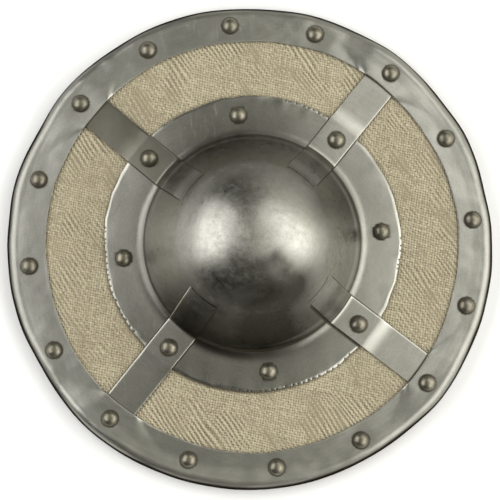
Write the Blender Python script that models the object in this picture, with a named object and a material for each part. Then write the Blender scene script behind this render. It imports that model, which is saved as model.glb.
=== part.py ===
"""Buckler: a small round hand shield of wood, linen and hammered steel, lying face up.

Lengths are metres and +Z points up, out of the shield's face. The origin is on the ground under
the middle of the rim. The four straps run out along the diagonals and the grip lies along X.

From the back to the face the pieces are stacked like this: the rim's back flange, the wooden
board, the linen, then the rim's front flange and the boss. Straps start high on the boss's cone,
bend at its foot, cross its flange and the linen, and end under the rim. Rivets go through the
whole stack.
"""

import math

import bmesh
import bpy
from mathutils import Matrix, Vector

# Overall sizes
SHIELD_RADIUS = 0.160
SHEET = 0.0012
GAP = 0.0003
SHARP_EDGE = math.radians(35)

# The board is slightly domed: it rises by this much from the rim's foot to its middle.
DISH_RISE = 0.009
DISH_RADIUS = 0.1525

# Stack at the board's edge, measured from the ground
BACK_FLANGE_UNDER = 0.002
BOARD_THICKNESS = 0.0075
CANVAS_THICKNESS = 0.0008
BOARD_UNDER = BACK_FLANGE_UNDER + SHEET + GAP
BOARD_TOP = BOARD_UNDER + BOARD_THICKNESS
CANVAS_UNDER = BOARD_TOP + GAP
CANVAS_TOP = CANVAS_UNDER + CANVAS_THICKNESS
PLATE_UNDER = CANVAS_TOP + GAP
PLATE_TOP = PLATE_UNDER + SHEET
LAP = SHEET + GAP

# Board and linen
BOARD_RADIUS = 0.1545
CANVAS_RADIUS = 0.1520
HAND_HOLE_RADIUS = 0.066
LAYER_RINGS = (0.100, 0.139)
LAYER_STEPS = 30

# Rim: a strip folded round the edge, with a full roll that the shield lies on
RIM_INNER_RADIUS = 0.1357
RIM_INNER_SHIFT = 0.0016
RIM_INNER_WOBBLE = 0.0004
RIM_BACK_INNER_RADIUS = 0.1395
ROLL_RADIUS = PLATE_TOP / 2
ROLL_CENTRE = SHIELD_RADIUS - ROLL_RADIUS
ROLL_ARC_DEGREES = (90, 54, 17, -22, -61)
FOOT_OUTER_RADIUS = 0.1560
FOOT_INNER_RADIUS = DISH_RADIUS
FOOT_STEP = 0.0015
RIM_STEPS = 60
RIM_LIFT_FLAT = 0.017
RIM_LIFT_FADE = 0.013

# Hammered outline of the rim: (direction in degrees, half width in degrees, metres outwards)
RIM_DENTS = (
    (20, 14, 0.0008),
    (81, 20, -0.0010),
    (126, 13, 0.0006),
    (159, 12, 0.0013),
    (205, 14, -0.0014),
    (293, 16, -0.0008),
    (6, 9, -0.0006),
)
STRAP_BULGE = 0.0008
STRAP_BULGE_HALF_WIDTH = 11

# Boss: a flange and a rounded cone, raised from one sheet
BOSS_SHIFT = Vector((0.0016, 0.0009, 0.0))
FLANGE_RADIUS = 0.0972
FLANGE_WOBBLE = 0.0004
CONE_SLOPE = math.radians(61.5)
CAP_SLOPE = math.radians(57)
CAP_RADIUS = 0.059
CONE_FOOT_RADIUS = 0.0685
FOOT_FILLET = 0.004
CAP_BANDS = 4
FILLET_BANDS = 2
BOSS_STEPS = 42

# Straps
STRAP_WIDTH = 0.022
STRAP_ANGLES = (45.5, 134.0, 225.0, 317.0)
STRAP_INNER_RADII = (0.0508, 0.0508, 0.0500, 0.0545)
STRAP_OUTER_RADIUS = 0.1500
STEP_TOP_RADIUS = 0.0995
STEP_FOOT_RADIUS = 0.1085
STRAP_REST_RADIUS = 0.130
STRAP_LANES = 3

# Rivets
HEAD_RADIUS = 0.0056
HEAD_HEIGHT = 0.0040
SHANK_RADIUS = 0.0020
TAIL_RADIUS = 0.0036
TAIL_FLAT_RADIUS = 0.00288
TAIL_HEIGHT = 0.0012
HEAD_RING_DEGREES = (25, 60, 90)
HEAD_SIDES = 8
SHANK_SIDES = 5
HOLE_BOTTOM = -0.010
HOLE_TOP = 0.030
RIM_RIVETS = 16
RIM_RIVET_CIRCLE = 0.1465
RIM_RIVET_SHIFT = Vector((0.0009, 0.0002, 0.0))
RIM_RIVET_DRIFT = 0.7
RIM_RIVET_DRIFT_FROM = 224
BOSS_RIVET_CIRCLE = 0.0862
BOSS_RIVET_STAGGER = 0.0013
BOSS_RIVET_DRIFTS = (-1.0, -0.2, 0.2, -0.3, 0.8, 0.6, 1.2, 1.4)

# Grip: a flat bar behind the hand hole, held by the two boss rivets on X
GRIP_WIDTH = 0.022
GRIP_THICKNESS = 0.003
GRIP_SHIFT = Vector((BOSS_SHIFT.x, -0.0004, 0.0))
GRIP_END = 0.0965
GRIP_SHOULDER = 0.0605
GRIP_KNEE = 0.0500
GRIP_RISE = 0.009
GRIP_CORNER = 0.007
WRAP_HALF_LENGTH = 0.046
WRAP_HALF_WIDTH = 0.0145
WRAP_HALF_HEIGHT = 0.0052
WRAP_SIDES = 12
WRAP_ROUNDNESS = 0.6


def dish(radius):
    """Rise of the domed board above its edge, at a distance from the shield's middle."""
    inside = min(radius / DISH_RADIUS, 1.0)
    return DISH_RISE * (1.0 - inside ** 2)


def dish_slope(radius):
    """Change of that rise for each metre outwards."""
    return -2.0 * DISH_RISE * radius / DISH_RADIUS ** 2


def heading(degrees):
    """Unit vector in a direction of the ground plane."""
    angle = math.radians(degrees)
    return Vector((math.cos(angle), math.sin(angle), 0.0))


def bell(offset, half_width):
    """Smooth bump: one at no offset, nothing beyond the half width."""
    share = min(abs(offset) / half_width, 1.0)
    return 0.5 * (1.0 + math.cos(math.pi * share))


def turn_between(first, second):
    """Smallest turn in degrees between two directions."""
    return (first - second + 180.0) % 360.0 - 180.0


def clamp(value):
    return min(max(value, 0.0), 1.0)


def material(name, colour, roughness, metallic):
    made = bpy.data.materials.new(name)
    made.use_nodes = True
    shader = made.node_tree.nodes["Principled BSDF"]
    shader.inputs["Base Color"].default_value = (*colour, 1.0)
    shader.inputs["Roughness"].default_value = roughness
    shader.inputs["Metallic"].default_value = metallic
    made.diffuse_color = (*colour, 1.0)
    return made


def add_object(name, mesh, finish, location=(0.0, 0.0, 0.0), turn=0.0):
    """Put a mesh into the scene under a name, with its material, place and turn about Z."""
    made = bpy.data.objects.new(name, mesh)
    bpy.context.scene.collection.objects.link(made)
    made.location = location
    made.rotation_euler = (0.0, 0.0, turn)
    if finish is not None and not mesh.materials:
        mesh.materials.append(finish)
    return made


def to_mesh(name, bm, smooth=True):
    """Turn a finished bmesh into a mesh, smooth except at its sharp edges."""
    mesh = bpy.data.meshes.new(name)
    bm.to_mesh(mesh)
    bm.free()
    if smooth:
        mesh.shade_smooth()
        mesh.set_sharp_from_angle(angle=SHARP_EDGE)
    return mesh


def spun(profile, steps, closed):
    """Turn a profile of (radius, height) points about Z into a surface."""
    bm = bmesh.new()
    points = [bm.verts.new((radius, 0.0, height)) for radius, height in profile]
    pairs = list(zip(points, points[1:]))
    if closed:
        pairs.append((points[-1], points[0]))
    edges = [bm.edges.new(pair) for pair in pairs]
    bmesh.ops.spin(
        bm,
        geom=points + edges,
        cent=(0.0, 0.0, 0.0),
        axis=(0.0, 0.0, 1.0),
        angle=math.tau,
        steps=steps,
        use_merge=True,
    )
    bmesh.ops.remove_doubles(bm, verts=bm.verts, dist=1e-6)
    if closed:
        bmesh.ops.recalc_face_normals(bm, faces=bm.faces)
    return bm


def face_up(bm):
    """Turn an open sheet's faces outwards: the topmost one looks at the sky."""
    bmesh.ops.recalc_face_normals(bm, faces=bm.faces)
    top = max(bm.faces, key=lambda face: face.calc_center_median().z)
    top.normal_update()
    if top.normal.z < 0.0:
        bmesh.ops.reverse_faces(bm, faces=bm.faces)


def lay_on_dish(bm, shift=Vector(), from_radius=0.0):
    """Lift every point by the board's rise at its place in the shield."""
    for vert in bm.verts:
        place = vert.co + shift
        vert.co.z += dish(max(place.xy.length, from_radius))


def add_sheet_thickness(owner, inwards=True):
    """Give a one-sided sheet its thickness, behind its faces or in front of them."""
    solidify = owner.modifiers.new("thickness", "SOLIDIFY")
    solidify.thickness = SHEET
    solidify.offset = -1.0 if inwards else 1.0
    solidify.use_even_offset = True
    solidify.use_rim = True


def cut(owner, cutter):
    boolean = owner.modifiers.new("rivet holes", "BOOLEAN")
    boolean.operation = "DIFFERENCE"
    boolean.solver = "EXACT"
    boolean.object = cutter


# Board and linen


def layer(name, finish, under, top, outer):
    """A flat ring round the hand hole, bent to the board's dome."""
    radii = (HAND_HOLE_RADIUS, *LAYER_RINGS, outer)
    profile = [(radius, under) for radius in radii]
    profile += [(radius, top) for radius in reversed(radii)]
    bm = spun(profile, LAYER_STEPS, closed=True)
    lay_on_dish(bm)
    return add_object(name, to_mesh(name, bm), finish)


# Rim


def rim_profile():
    """The outer surface of the rim's sheet, from its front inner edge round to the back one."""
    roll = [
        (
            ROLL_CENTRE + ROLL_RADIUS * math.cos(math.radians(turn)),
            ROLL_RADIUS + ROLL_RADIUS * math.sin(math.radians(turn)),
        )
        for turn in ROLL_ARC_DEGREES
    ]
    foot = [
        (FOOT_OUTER_RADIUS, 0.0),
        (FOOT_INNER_RADIUS, 0.0),
        (FOOT_INNER_RADIUS - FOOT_STEP, BACK_FLANGE_UNDER),
        (RIM_BACK_INNER_RADIUS, BACK_FLANGE_UNDER),
    ]
    return [(RIM_INNER_RADIUS, PLATE_TOP), *roll, *foot]


def outline_wave(degrees):
    """How far the hammered edge stands out from its true circle in one direction."""
    wave = sum(
        depth * bell(turn_between(degrees, at), half_width)
        for at, half_width, depth in RIM_DENTS
    )
    bulge = sum(
        bell(turn_between(degrees, at), STRAP_BULGE_HALF_WIDTH) for at in STRAP_ANGLES
    )
    return wave + STRAP_BULGE * bulge


def rim_lift(place):
    """Share of a strap's thickness that the rim is lifted by at a place."""
    nearest = min(strap_distance(place, degrees) for degrees in STRAP_ANGLES)
    fade = clamp((nearest - RIM_LIFT_FLAT) / RIM_LIFT_FADE)
    return 1.0 - fade * fade * (3.0 - 2.0 * fade)


def strap_distance(place, degrees):
    """Distance of a place from a strap's middle line, or far away on the other side."""
    offset = place - BOSS_SHIFT
    along = heading(degrees)
    if offset.dot(along) < 0.0:
        return SHIELD_RADIUS
    return abs(offset.x * along.y - offset.y * along.x)


def hammer_rim(bm):
    """Dent the round rim: wave its outline, shift its inner edge and lift it over straps."""
    band = ROLL_CENTRE - RIM_INNER_RADIUS
    for vert in bm.verts:
        flat = Vector((vert.co.x, vert.co.y, 0.0))
        radius = flat.length
        degrees = math.degrees(math.atan2(flat.y, flat.x))
        on_roll = clamp((radius - FOOT_INNER_RADIUS) / (ROLL_CENTRE - FOOT_INNER_RADIUS))
        in_front = clamp((vert.co.z - ROLL_RADIUS) / ROLL_RADIUS)
        inner = in_front * clamp((ROLL_CENTRE - radius) / band)
        wobble = RIM_INNER_WOBBLE * math.sin(math.radians(7 * degrees + 40))
        outwards = outline_wave(degrees) * on_roll + wobble * inner
        moved = flat + flat.normalized() * outwards
        moved.x += RIM_INNER_SHIFT * inner
        vert.co.xy = moved.xy
        vert.co.z += LAP * rim_lift(moved) * in_front


def rim(finish):
    bm = spun(rim_profile(), RIM_STEPS, closed=False)
    hammer_rim(bm)
    lay_on_dish(bm)
    face_up(bm)
    made = add_object("rim", to_mesh("rim", bm), finish)
    add_sheet_thickness(made)
    return made


# Boss


def foot_profile(gap=0.0):
    """The fillet from the flange up to the cone, or a line that keeps a gap over it."""
    middle = CONE_FOOT_RADIUS + FOOT_FILLET * math.sin(CONE_SLOPE)
    radius = FOOT_FILLET - gap
    slopes = [CONE_SLOPE * band / FILLET_BANDS for band in range(FILLET_BANDS + 1)]
    return [
        (middle - radius * math.sin(slope), PLATE_TOP + FOOT_FILLET - radius * math.cos(slope))
        for slope in slopes
    ]


def boss_profile():
    """The boss's upper surface, from the flange's edge up to the middle of the cap."""
    profile = [(FLANGE_RADIUS, PLATE_TOP), *foot_profile()]
    cap_edge = CAP_RADIUS * math.sin(CAP_SLOPE)
    cap_base = profile[-1][1] + (CONE_FOOT_RADIUS - cap_edge) * math.tan(CONE_SLOPE)
    apex = cap_base + CAP_RADIUS * (1.0 - math.cos(CAP_SLOPE))
    for band in range(CAP_BANDS, -1, -1):
        slope = CAP_SLOPE * band / CAP_BANDS
        profile.append((CAP_RADIUS * math.sin(slope), apex - CAP_RADIUS * (1.0 - math.cos(slope))))
    return profile


def boss(finish):
    bm = spun(boss_profile(), BOSS_STEPS, closed=False)
    for vert in bm.verts:
        radius = vert.co.xy.length
        angle = math.atan2(vert.co.y, vert.co.x)
        edge = clamp((radius - BOSS_RIVET_CIRCLE) / (FLANGE_RADIUS - BOSS_RIVET_CIRCLE))
        wobble = math.sin(5 * angle + 1.0) + 0.8 * math.sin(11 * angle + 2.0)
        vert.co.xy *= 1.0 + FLANGE_WOBBLE * edge * wobble / FLANGE_RADIUS
    lay_on_dish(bm, BOSS_SHIFT, CONE_FOOT_RADIUS)
    face_up(bm)
    made = add_object("boss", to_mesh("boss", bm), finish, BOSS_SHIFT)
    add_sheet_thickness(made)
    return made


# Straps


def strap_rows(inner_radius, end):
    """A strap's underside as (distance from the boss's middle, height before the dome)."""
    foot = foot_profile(GAP)
    cone_radius, cone_height = foot[-1]
    rise = (cone_radius - inner_radius) * math.tan(CONE_SLOPE)
    on_flange = PLATE_UNDER + LAP
    return [
        (inner_radius, cone_height + rise),
        *reversed(foot),
        (STEP_TOP_RADIUS, on_flange),
        (STEP_FOOT_RADIUS, PLATE_UNDER),
        (STRAP_REST_RADIUS, PLATE_UNDER),
        (end, PLATE_UNDER),
    ]


def strap(number, degrees, finish):
    """One strap: round the boss on the cone and its foot, and straight beyond them."""
    along = heading(degrees)
    turned = Matrix.Rotation(math.radians(degrees), 3, "Z")
    end = STRAP_OUTER_RADIUS - BOSS_SHIFT.dot(along)
    bm = bmesh.new()
    grid = []
    for row, level in strap_rows(STRAP_INNER_RADII[number - 1], end):
        line = []
        for lane in range(STRAP_LANES + 1):
            side = STRAP_WIDTH * (lane / STRAP_LANES - 0.5)
            forward = math.sqrt(row ** 2 - side ** 2) if row < STEP_TOP_RADIUS else row
            place = BOSS_SHIFT + turned @ Vector((forward, side, 0.0))
            height = level + dish(max(place.length, CONE_FOOT_RADIUS))
            line.append(bm.verts.new((forward, side, height)))
        grid.append(line)
    for near, far in zip(grid, grid[1:]):
        for lane in range(STRAP_LANES):
            bm.faces.new((near[lane], far[lane], far[lane + 1], near[lane + 1]))
    face_up(bm)
    name = f"strap_{number}"
    made = add_object(name, to_mesh(name, bm), finish, BOSS_SHIFT, math.radians(degrees))
    add_sheet_thickness(made, inwards=False)
    return made


# Rivets


def rim_rivet_places():
    """Place of each rim rivet, and whether it holds a strap."""
    for index in range(RIM_RIVETS):
        even = 360.0 * index / RIM_RIVETS
        drift = RIM_RIVET_DRIFT * math.sin(math.radians(even - RIM_RIVET_DRIFT_FROM))
        yield RIM_RIVET_SHIFT + heading(even + drift) * RIM_RIVET_CIRCLE, index % 4 == 2


def boss_rivet_places():
    """Place of each boss rivet, and whether it holds a strap."""
    for index, drift in enumerate(BOSS_RIVET_DRIFTS):
        on_strap = index % 2 == 1
        circle = BOSS_RIVET_CIRCLE + BOSS_RIVET_STAGGER * (1 if on_strap else -1)
        even = 360.0 * index / len(BOSS_RIVET_DRIFTS)
        yield BOSS_SHIFT + heading(even + drift) * circle, on_strap


def ring(bm, radius, height, sides):
    made = bmesh.ops.create_circle(
        bm, segments=sides, radius=radius, matrix=Matrix.Translation((0.0, 0.0, height))
    )
    return made["verts"]


def stack(bm, rings):
    """Join rings one above the other into a closed solid, also rings of unlike counts."""
    for upper, lower in zip(rings, rings[1:]):
        zip_together(bm, upper, lower)
    bm.faces.new(rings[0])
    bm.faces.new(rings[-1])
    bmesh.ops.recalc_face_normals(bm, faces=bm.faces)


def zip_together(bm, first, second):
    """Fill the band between two rings with triangles, walking round both at one pace."""
    at_first = 0
    at_second = 0
    while at_first + at_second < len(first) + len(second):
        near = first[at_first % len(first)]
        far = second[at_second % len(second)]
        if (at_first + 1) * len(second) <= (at_second + 1) * len(first):
            at_first += 1
            step = first[at_first % len(first)]
        else:
            at_second += 1
            step = second[at_second % len(second)]
        bm.faces.new((near, far, step))


def rivet_mesh(name, head_base, tail_top, circle, finish):
    """A round head, a shank and a peened tail, its head and tail parallel to the dome."""
    bm = bmesh.new()
    rings = [
        ring(
            bm,
            HEAD_RADIUS * math.sin(math.radians(turn)),
            head_base + HEAD_HEIGHT * math.cos(math.radians(turn)),
            HEAD_SIDES,
        )
        for turn in HEAD_RING_DEGREES
    ]
    rings.append(ring(bm, SHANK_RADIUS, head_base, SHANK_SIDES))
    rings.append(ring(bm, SHANK_RADIUS, tail_top, SHANK_SIDES))
    rings.append(ring(bm, TAIL_RADIUS, tail_top, SHANK_SIDES))
    rings.append(ring(bm, TAIL_FLAT_RADIUS, tail_top - TAIL_HEIGHT, SHANK_SIDES))
    stack(bm, rings)
    for vert in bm.verts:
        vert.co.z += dish_slope(circle) * vert.co.x
    mesh = to_mesh(name, bm)
    mesh.materials.append(finish)
    return mesh


def place_rivet(name, mesh, place, finish):
    """Stand a rivet at its place, its own X pointing away from the shield's middle."""
    location = Vector((place.x, place.y, dish(place.length)))
    return add_object(name, mesh, finish, location, math.atan2(place.y, place.x))


def rivet_holes():
    """One cutter with a prism for each rivet's shank, a gap wider than the shank."""
    radius = SHANK_RADIUS + GAP / math.cos(math.pi / SHANK_SIDES)
    middle = 0.5 * (HOLE_BOTTOM + HOLE_TOP)
    bm = bmesh.new()
    for place, _ in [*rim_rivet_places(), *boss_rivet_places()]:
        upright = Matrix.Translation((place.x, place.y, middle))
        turned = Matrix.Rotation(math.atan2(place.y, place.x), 4, "Z")
        bmesh.ops.create_cone(
            bm,
            cap_ends=True,
            segments=SHANK_SIDES,
            radius1=radius,
            radius2=radius,
            depth=HOLE_TOP - HOLE_BOTTOM,
            matrix=upright @ turned,
        )
    cutter = add_object("rivet_holes", to_mesh("rivet_holes", bm, smooth=False), None)
    cutter.hide_render = True
    cutter.display_type = "WIRE"
    return cutter


def rivets(finish):
    back = BACK_FLANGE_UNDER - GAP
    on_board = BOARD_UNDER - GAP
    on_grip = on_board - GRIP_THICKNESS - GAP
    face = PLATE_TOP + GAP
    rim_plain = rivet_mesh("rim_rivet", face, back, RIM_RIVET_CIRCLE, finish)
    rim_strap = rivet_mesh("rim_strap_rivet", face + LAP, back, RIM_RIVET_CIRCLE, finish)
    boss_plain = rivet_mesh("boss_rivet", face, on_board, BOSS_RIVET_CIRCLE, finish)
    boss_strap = rivet_mesh("boss_strap_rivet", face + LAP, on_board, BOSS_RIVET_CIRCLE, finish)
    boss_grip = rivet_mesh("boss_grip_rivet", face, on_grip, BOSS_RIVET_CIRCLE, finish)
    for number, (place, on_strap) in enumerate(rim_rivet_places(), 1):
        place_rivet(f"rim_rivet_{number:02d}", rim_strap if on_strap else rim_plain, place, finish)
    for number, (place, on_strap) in enumerate(boss_rivet_places(), 1):
        plain = boss_grip if number in (1, 5) else boss_plain
        place_rivet(f"boss_rivet_{number}", boss_strap if on_strap else plain, place, finish)


# Grip


def grip_top(along, side):
    """Height of the grip bar's upper face at a point of the bar."""
    outwards = max(abs(along), GRIP_SHOULDER) * math.copysign(1.0, along)
    place = GRIP_SHIFT + Vector((outwards, side, 0.0))
    up = clamp((GRIP_SHOULDER - abs(along)) / (GRIP_SHOULDER - GRIP_KNEE))
    return BOARD_UNDER - GAP + dish(place.length) + GRIP_RISE * up


def grip(finish):
    """A flat bar, level with the back of the board at its ends and raised between them."""
    stations = [-GRIP_END, -GRIP_SHOULDER, -GRIP_KNEE, GRIP_KNEE, GRIP_SHOULDER, GRIP_END]
    bm = bmesh.new()
    half = 0.5 * GRIP_WIDTH
    lines = [
        [bm.verts.new((along, side, grip_top(along, side))) for side in (-half, half)]
        for along in stations
    ]
    faces = [
        bm.faces.new((near[0], far[0], far[1], near[1])) for near, far in zip(lines, lines[1:])
    ]
    made = bmesh.ops.extrude_face_region(bm, geom=faces)
    lowered = [item for item in made["geom"] if isinstance(item, bmesh.types.BMVert)]
    bmesh.ops.translate(bm, verts=lowered, vec=(0.0, 0.0, -GRIP_THICKNESS))
    bmesh.ops.recalc_face_normals(bm, faces=bm.faces)
    corners = [
        edge
        for edge in bm.edges
        if all(abs(abs(vert.co.x) - GRIP_END) < 1e-6 for vert in edge.verts)
        and abs(edge.verts[0].co.y - edge.verts[1].co.y) < 1e-6
    ]
    bmesh.ops.bevel(
        bm, geom=corners, offset=GRIP_CORNER, offset_type="OFFSET", segments=3, profile=0.5,
        affect="EDGES",
    )
    return add_object("grip", to_mesh("grip", bm), finish, GRIP_SHIFT)


def grip_wrap(finish):
    """A leather sleeve round the middle of the grip, open at both ends for the bar."""
    middle = grip_top(0.0, 0.0) - 0.5 * GRIP_THICKNESS
    bm = bmesh.new()
    outline = ring(bm, 1.0, 0.0, WRAP_SIDES)
    for vert in outline:
        across = math.copysign(abs(vert.co.x) ** WRAP_ROUNDNESS, vert.co.x) * WRAP_HALF_WIDTH
        upright = math.copysign(abs(vert.co.y) ** WRAP_ROUNDNESS, vert.co.y) * WRAP_HALF_HEIGHT
        vert.co = Vector((-WRAP_HALF_LENGTH, across, middle + upright))
    face = bm.faces.new(outline)
    made = bmesh.ops.extrude_face_region(bm, geom=[face])
    moved = [item for item in made["geom"] if isinstance(item, bmesh.types.BMVert)]
    bmesh.ops.translate(bm, verts=moved, vec=(2.0 * WRAP_HALF_LENGTH, 0.0, 0.0))
    bmesh.ops.recalc_face_normals(bm, faces=bm.faces)
    wrap = add_object("grip_wrap", to_mesh("grip_wrap", bm), finish, GRIP_SHIFT)
    cut(wrap, grip_slot(middle))
    return wrap


def grip_slot(middle):
    """Cutter for the space that the bar takes inside its leather sleeve."""
    bm = bmesh.new()
    bmesh.ops.create_cube(bm, size=1.0)
    size = (4.0 * WRAP_HALF_LENGTH, GRIP_WIDTH + 2 * GAP, GRIP_THICKNESS + 2 * GAP)
    bmesh.ops.scale(bm, verts=bm.verts, vec=size)
    bmesh.ops.translate(bm, verts=bm.verts, vec=(0.0, 0.0, middle))
    cutter = add_object("grip_slot", to_mesh("grip_slot", bm, smooth=False), None, GRIP_SHIFT)
    cutter.hide_render = True
    cutter.display_type = "WIRE"
    return cutter


def clear_scene():
    for old in list(bpy.data.objects):
        bpy.data.objects.remove(old, do_unlink=True)


def main():
    clear_scene()
    steel = material("hammered_steel", (0.56, 0.55, 0.50), 0.34, 1.0)
    polished = material("polished_steel", (0.60, 0.59, 0.54), 0.24, 1.0)
    strap_steel = material("strap_steel", (0.55, 0.54, 0.49), 0.38, 1.0)
    rivet_steel = material("rivet_steel", (0.40, 0.38, 0.33), 0.36, 1.0)
    grip_iron = material("grip_iron", (0.30, 0.29, 0.27), 0.50, 1.0)
    linen = material("linen", (0.46, 0.41, 0.27), 0.90, 0.0)
    wood = material("board_wood", (0.42, 0.27, 0.14), 0.65, 0.0)
    leather = material("grip_leather", (0.13, 0.07, 0.04), 0.60, 0.0)

    board = layer("board", wood, BOARD_UNDER, BOARD_TOP, BOARD_RADIUS)
    canvas = layer("canvas", linen, CANVAS_UNDER, CANVAS_TOP, CANVAS_RADIUS)
    straps = [
        strap(number, degrees, strap_steel) for number, degrees in enumerate(STRAP_ANGLES, 1)
    ]
    drilled = [board, canvas, rim(steel), boss(polished), *straps, grip(grip_iron)]
    holes = rivet_holes()
    for piece in drilled:
        cut(piece, holes)
    rivets(rivet_steel)
    grip_wrap(leather)


main()
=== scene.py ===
"""Dress of a buckler: its rim, boss, straps, linen, rivets, board and grip, in metres, face up.

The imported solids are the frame. Every piece here takes the place of one or more of them.
"""

import math

import bmesh
import bpy
import numpy as np
from bpy.props import FloatProperty, FloatVectorProperty, IntProperty, PointerProperty
from mathutils import Matrix, Vector


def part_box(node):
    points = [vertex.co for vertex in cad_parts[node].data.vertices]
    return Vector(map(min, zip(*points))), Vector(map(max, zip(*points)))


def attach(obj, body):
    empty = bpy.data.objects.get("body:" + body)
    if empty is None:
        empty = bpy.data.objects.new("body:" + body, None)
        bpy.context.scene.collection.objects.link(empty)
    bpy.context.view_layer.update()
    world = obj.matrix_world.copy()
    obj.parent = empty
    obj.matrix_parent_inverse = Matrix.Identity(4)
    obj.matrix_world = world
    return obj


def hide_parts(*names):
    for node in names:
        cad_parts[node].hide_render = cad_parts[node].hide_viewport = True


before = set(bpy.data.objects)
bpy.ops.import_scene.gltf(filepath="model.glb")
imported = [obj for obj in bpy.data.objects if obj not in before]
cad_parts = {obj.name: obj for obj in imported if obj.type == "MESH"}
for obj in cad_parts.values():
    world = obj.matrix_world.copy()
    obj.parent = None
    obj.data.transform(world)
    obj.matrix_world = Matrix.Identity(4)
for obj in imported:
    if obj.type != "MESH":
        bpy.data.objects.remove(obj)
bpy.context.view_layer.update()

bl_info = {
    "name": "Buckler Dress",
    "version": (1, 0, 0),
    "blender": (4, 5, 0),
    "location": "3D View > Sidebar > Buckler",
    "description": "Dresses the solids of a buckler with hammered steel, linen, wood and leather",
    "category": "Mesh",
}

# The stack of pieces, as the solids have it
SHEET = 0.0012  # thickness of the steel
LAP = 0.0015  # how far a strap lifts what lies on it
DISH_RISE = 0.009
DISH_RADIUS = 0.1525
PLATE_TOP = 0.0136
LINEN_TOP = 0.0121
LINEN_UNDER = 0.0113
BOARD_TOP = 0.0110
BOARD_UNDER = 0.0035
BACK_FLANGE_UNDER = 0.0020
HAND_HOLE_RADIUS = 0.066
LINEN_REACH = 0.152
BOSS_SHIFT = np.array((0.0016, 0.0009))
GRIP_SHIFT = np.array((BOSS_SHIFT[0], -0.0004))

# The straps' directions in degrees, and how far from the boss's middle each one starts
STRAP_ANGLES = (45.5, 134.0, 225.0, 317.0)
STRAP_ENDS = (0.0514, 0.0514, 0.0506, 0.0551)
STRAP_WIDTH = 0.022
# How much painted shade each strap gets, how much painted highlight its bends get,
# and how round its two long edges were left
STRAP_SHADE = (0.12, 0.84, 0.22, 0.10)
STRAP_SHINE = (0.35, 0.0, 0.1, 0.6)
STRAP_EDGES = ((1.0, 0.1), (0.6, 0.1), (1.0, 1.0), (0.1, 1.0))
# Places of the two lower straps in these lists
LOWER_LEFT, LOWER_RIGHT = 2, 3

RIM_RIVETS = [f"rim_rivet_{number:02d}" for number in range(1, 17)]
BOSS_RIVETS = [f"boss_rivet_{number}" for number in range(1, 9)]
# Radii of a rivet's foot, of the soil and painted shade round it, and of its dimple
RIVET_FOOT = 0.0056
RIVET_SOIL_AND_SHADE = 0.0068
RIVET_DIMPLE = 0.0078
GRIP_HOLD = 0.0033  # how much longer a rivet is that holds the grip as well

ROUND_STEPS = 720  # points round the rim and the boss


# Shapes in numbers


def dish(radius):
    """Rise of the domed board above its edge, at a distance from the shield's middle."""
    return DISH_RISE * (1.0 - np.minimum(radius / DISH_RADIUS, 1.0) ** 2)


def ease(value, low, high):
    """Zero below the low value, one above the high one, and smooth between them."""
    share = np.clip((value - low) / (high - low), 0.0, 1.0)
    return share * share * (3.0 - 2.0 * share)


def bell(offset, half_width):
    """One at no offset, and smoothly down to zero at half the width."""
    return 0.5 * (1.0 + np.cos(math.pi * np.clip(np.abs(offset) / half_width, 0.0, 1.0)))


def hump(offset, width):
    """One at no offset, and smoothly down to almost nothing at three times the width."""
    return np.exp(-((offset / width) ** 2))


def turn_between(first, second):
    """Smallest turn in degrees between two directions."""
    return (first - second + 180.0) % 360.0 - 180.0


def lobe(degrees, at, half_width):
    """One in a direction, and smoothly down to zero at a turn of so many degrees from it."""
    return bell(turn_between(degrees, at), half_width)


def heading(degrees):
    """The two parts of a step of unit length in a direction."""
    return math.cos(math.radians(degrees)), math.sin(math.radians(degrees))


def ripple(x, y, length, seed, waves=14):
    """Smooth irregular height, mostly between -1 and 1, whose waves have about one length."""
    chance = np.random.default_rng(seed)
    total = 0.0
    for _ in range(waves):
        way = chance.uniform(0.0, math.tau)
        step = length * chance.uniform(0.7, 1.5)
        start = chance.uniform(0.0, math.tau)
        total = total + np.sin(math.tau * (x * math.cos(way) + y * math.sin(way)) / step + start)
    return total / math.sqrt(waves)


def nearest(x, y, places):
    """Distance in plan from each point to the nearest of some places."""
    gaps = [np.hypot(x - place[0], y - place[1]) for place in places]
    return np.min(gaps, axis=0)


def dimples(x, y, rivets):
    """How deep each point lies in the dimple round a rivet, from zero to one."""
    return hump(nearest(x, y, rivets), RIVET_DIMPLE)


def soil_and_shade_round(x, y, rivets):
    """Soil and painted shade round the foot of each rivet's head."""
    return 0.8 * (1.0 - ease(nearest(x, y, rivets), RIVET_FOOT, RIVET_SOIL_AND_SHADE))


def node_middle(name):
    """Middle of a solid's box in plan."""
    low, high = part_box(name)
    return np.array((0.5 * (low.x + high.x), 0.5 * (low.y + high.y)))


def about_boss(x, y):
    """Distance of each point from the boss's middle, and its direction in degrees."""
    x, y = x - BOSS_SHIFT[0], y - BOSS_SHIFT[1]
    return np.hypot(x, y), np.degrees(np.arctan2(y, x))


def strap_places(x, y):
    """How far out each point lies along its nearest strap, and how far to that strap's side."""
    x, y = x - BOSS_SHIFT[0], y - BOSS_SHIFT[1]
    best_side = np.full(np.shape(x), 1.0)
    best_out = np.zeros(np.shape(x))
    for degrees in STRAP_ANGLES:
        along, across = heading(degrees)
        out = x * along + y * across
        side = np.abs(x * across - y * along)
        closer = (out > 0.0) & (side < best_side)
        best_side = np.where(closer, side, best_side)
        best_out = np.where(closer, out, best_out)
    return best_out, best_side


def own_strap(degrees):
    """Place in the list of straps of the one nearest to each direction from the boss's middle."""
    return np.argmin([np.abs(turn_between(degrees, at)) for at in STRAP_ANGLES], axis=0)


RIM_RIVET_PLACES = [node_middle(name) for name in RIM_RIVETS]
BOSS_RIVET_PLACES = [node_middle(name) for name in BOSS_RIVETS]


# Meshes


def edged_row(first, second, third, count):
    """Places from -1 to 1: an even row between closer ones at both edges."""
    inner = np.linspace(-third, third, count)
    return np.array((-1.0, -first, -second, *inner, second, first, 1.0))


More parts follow.
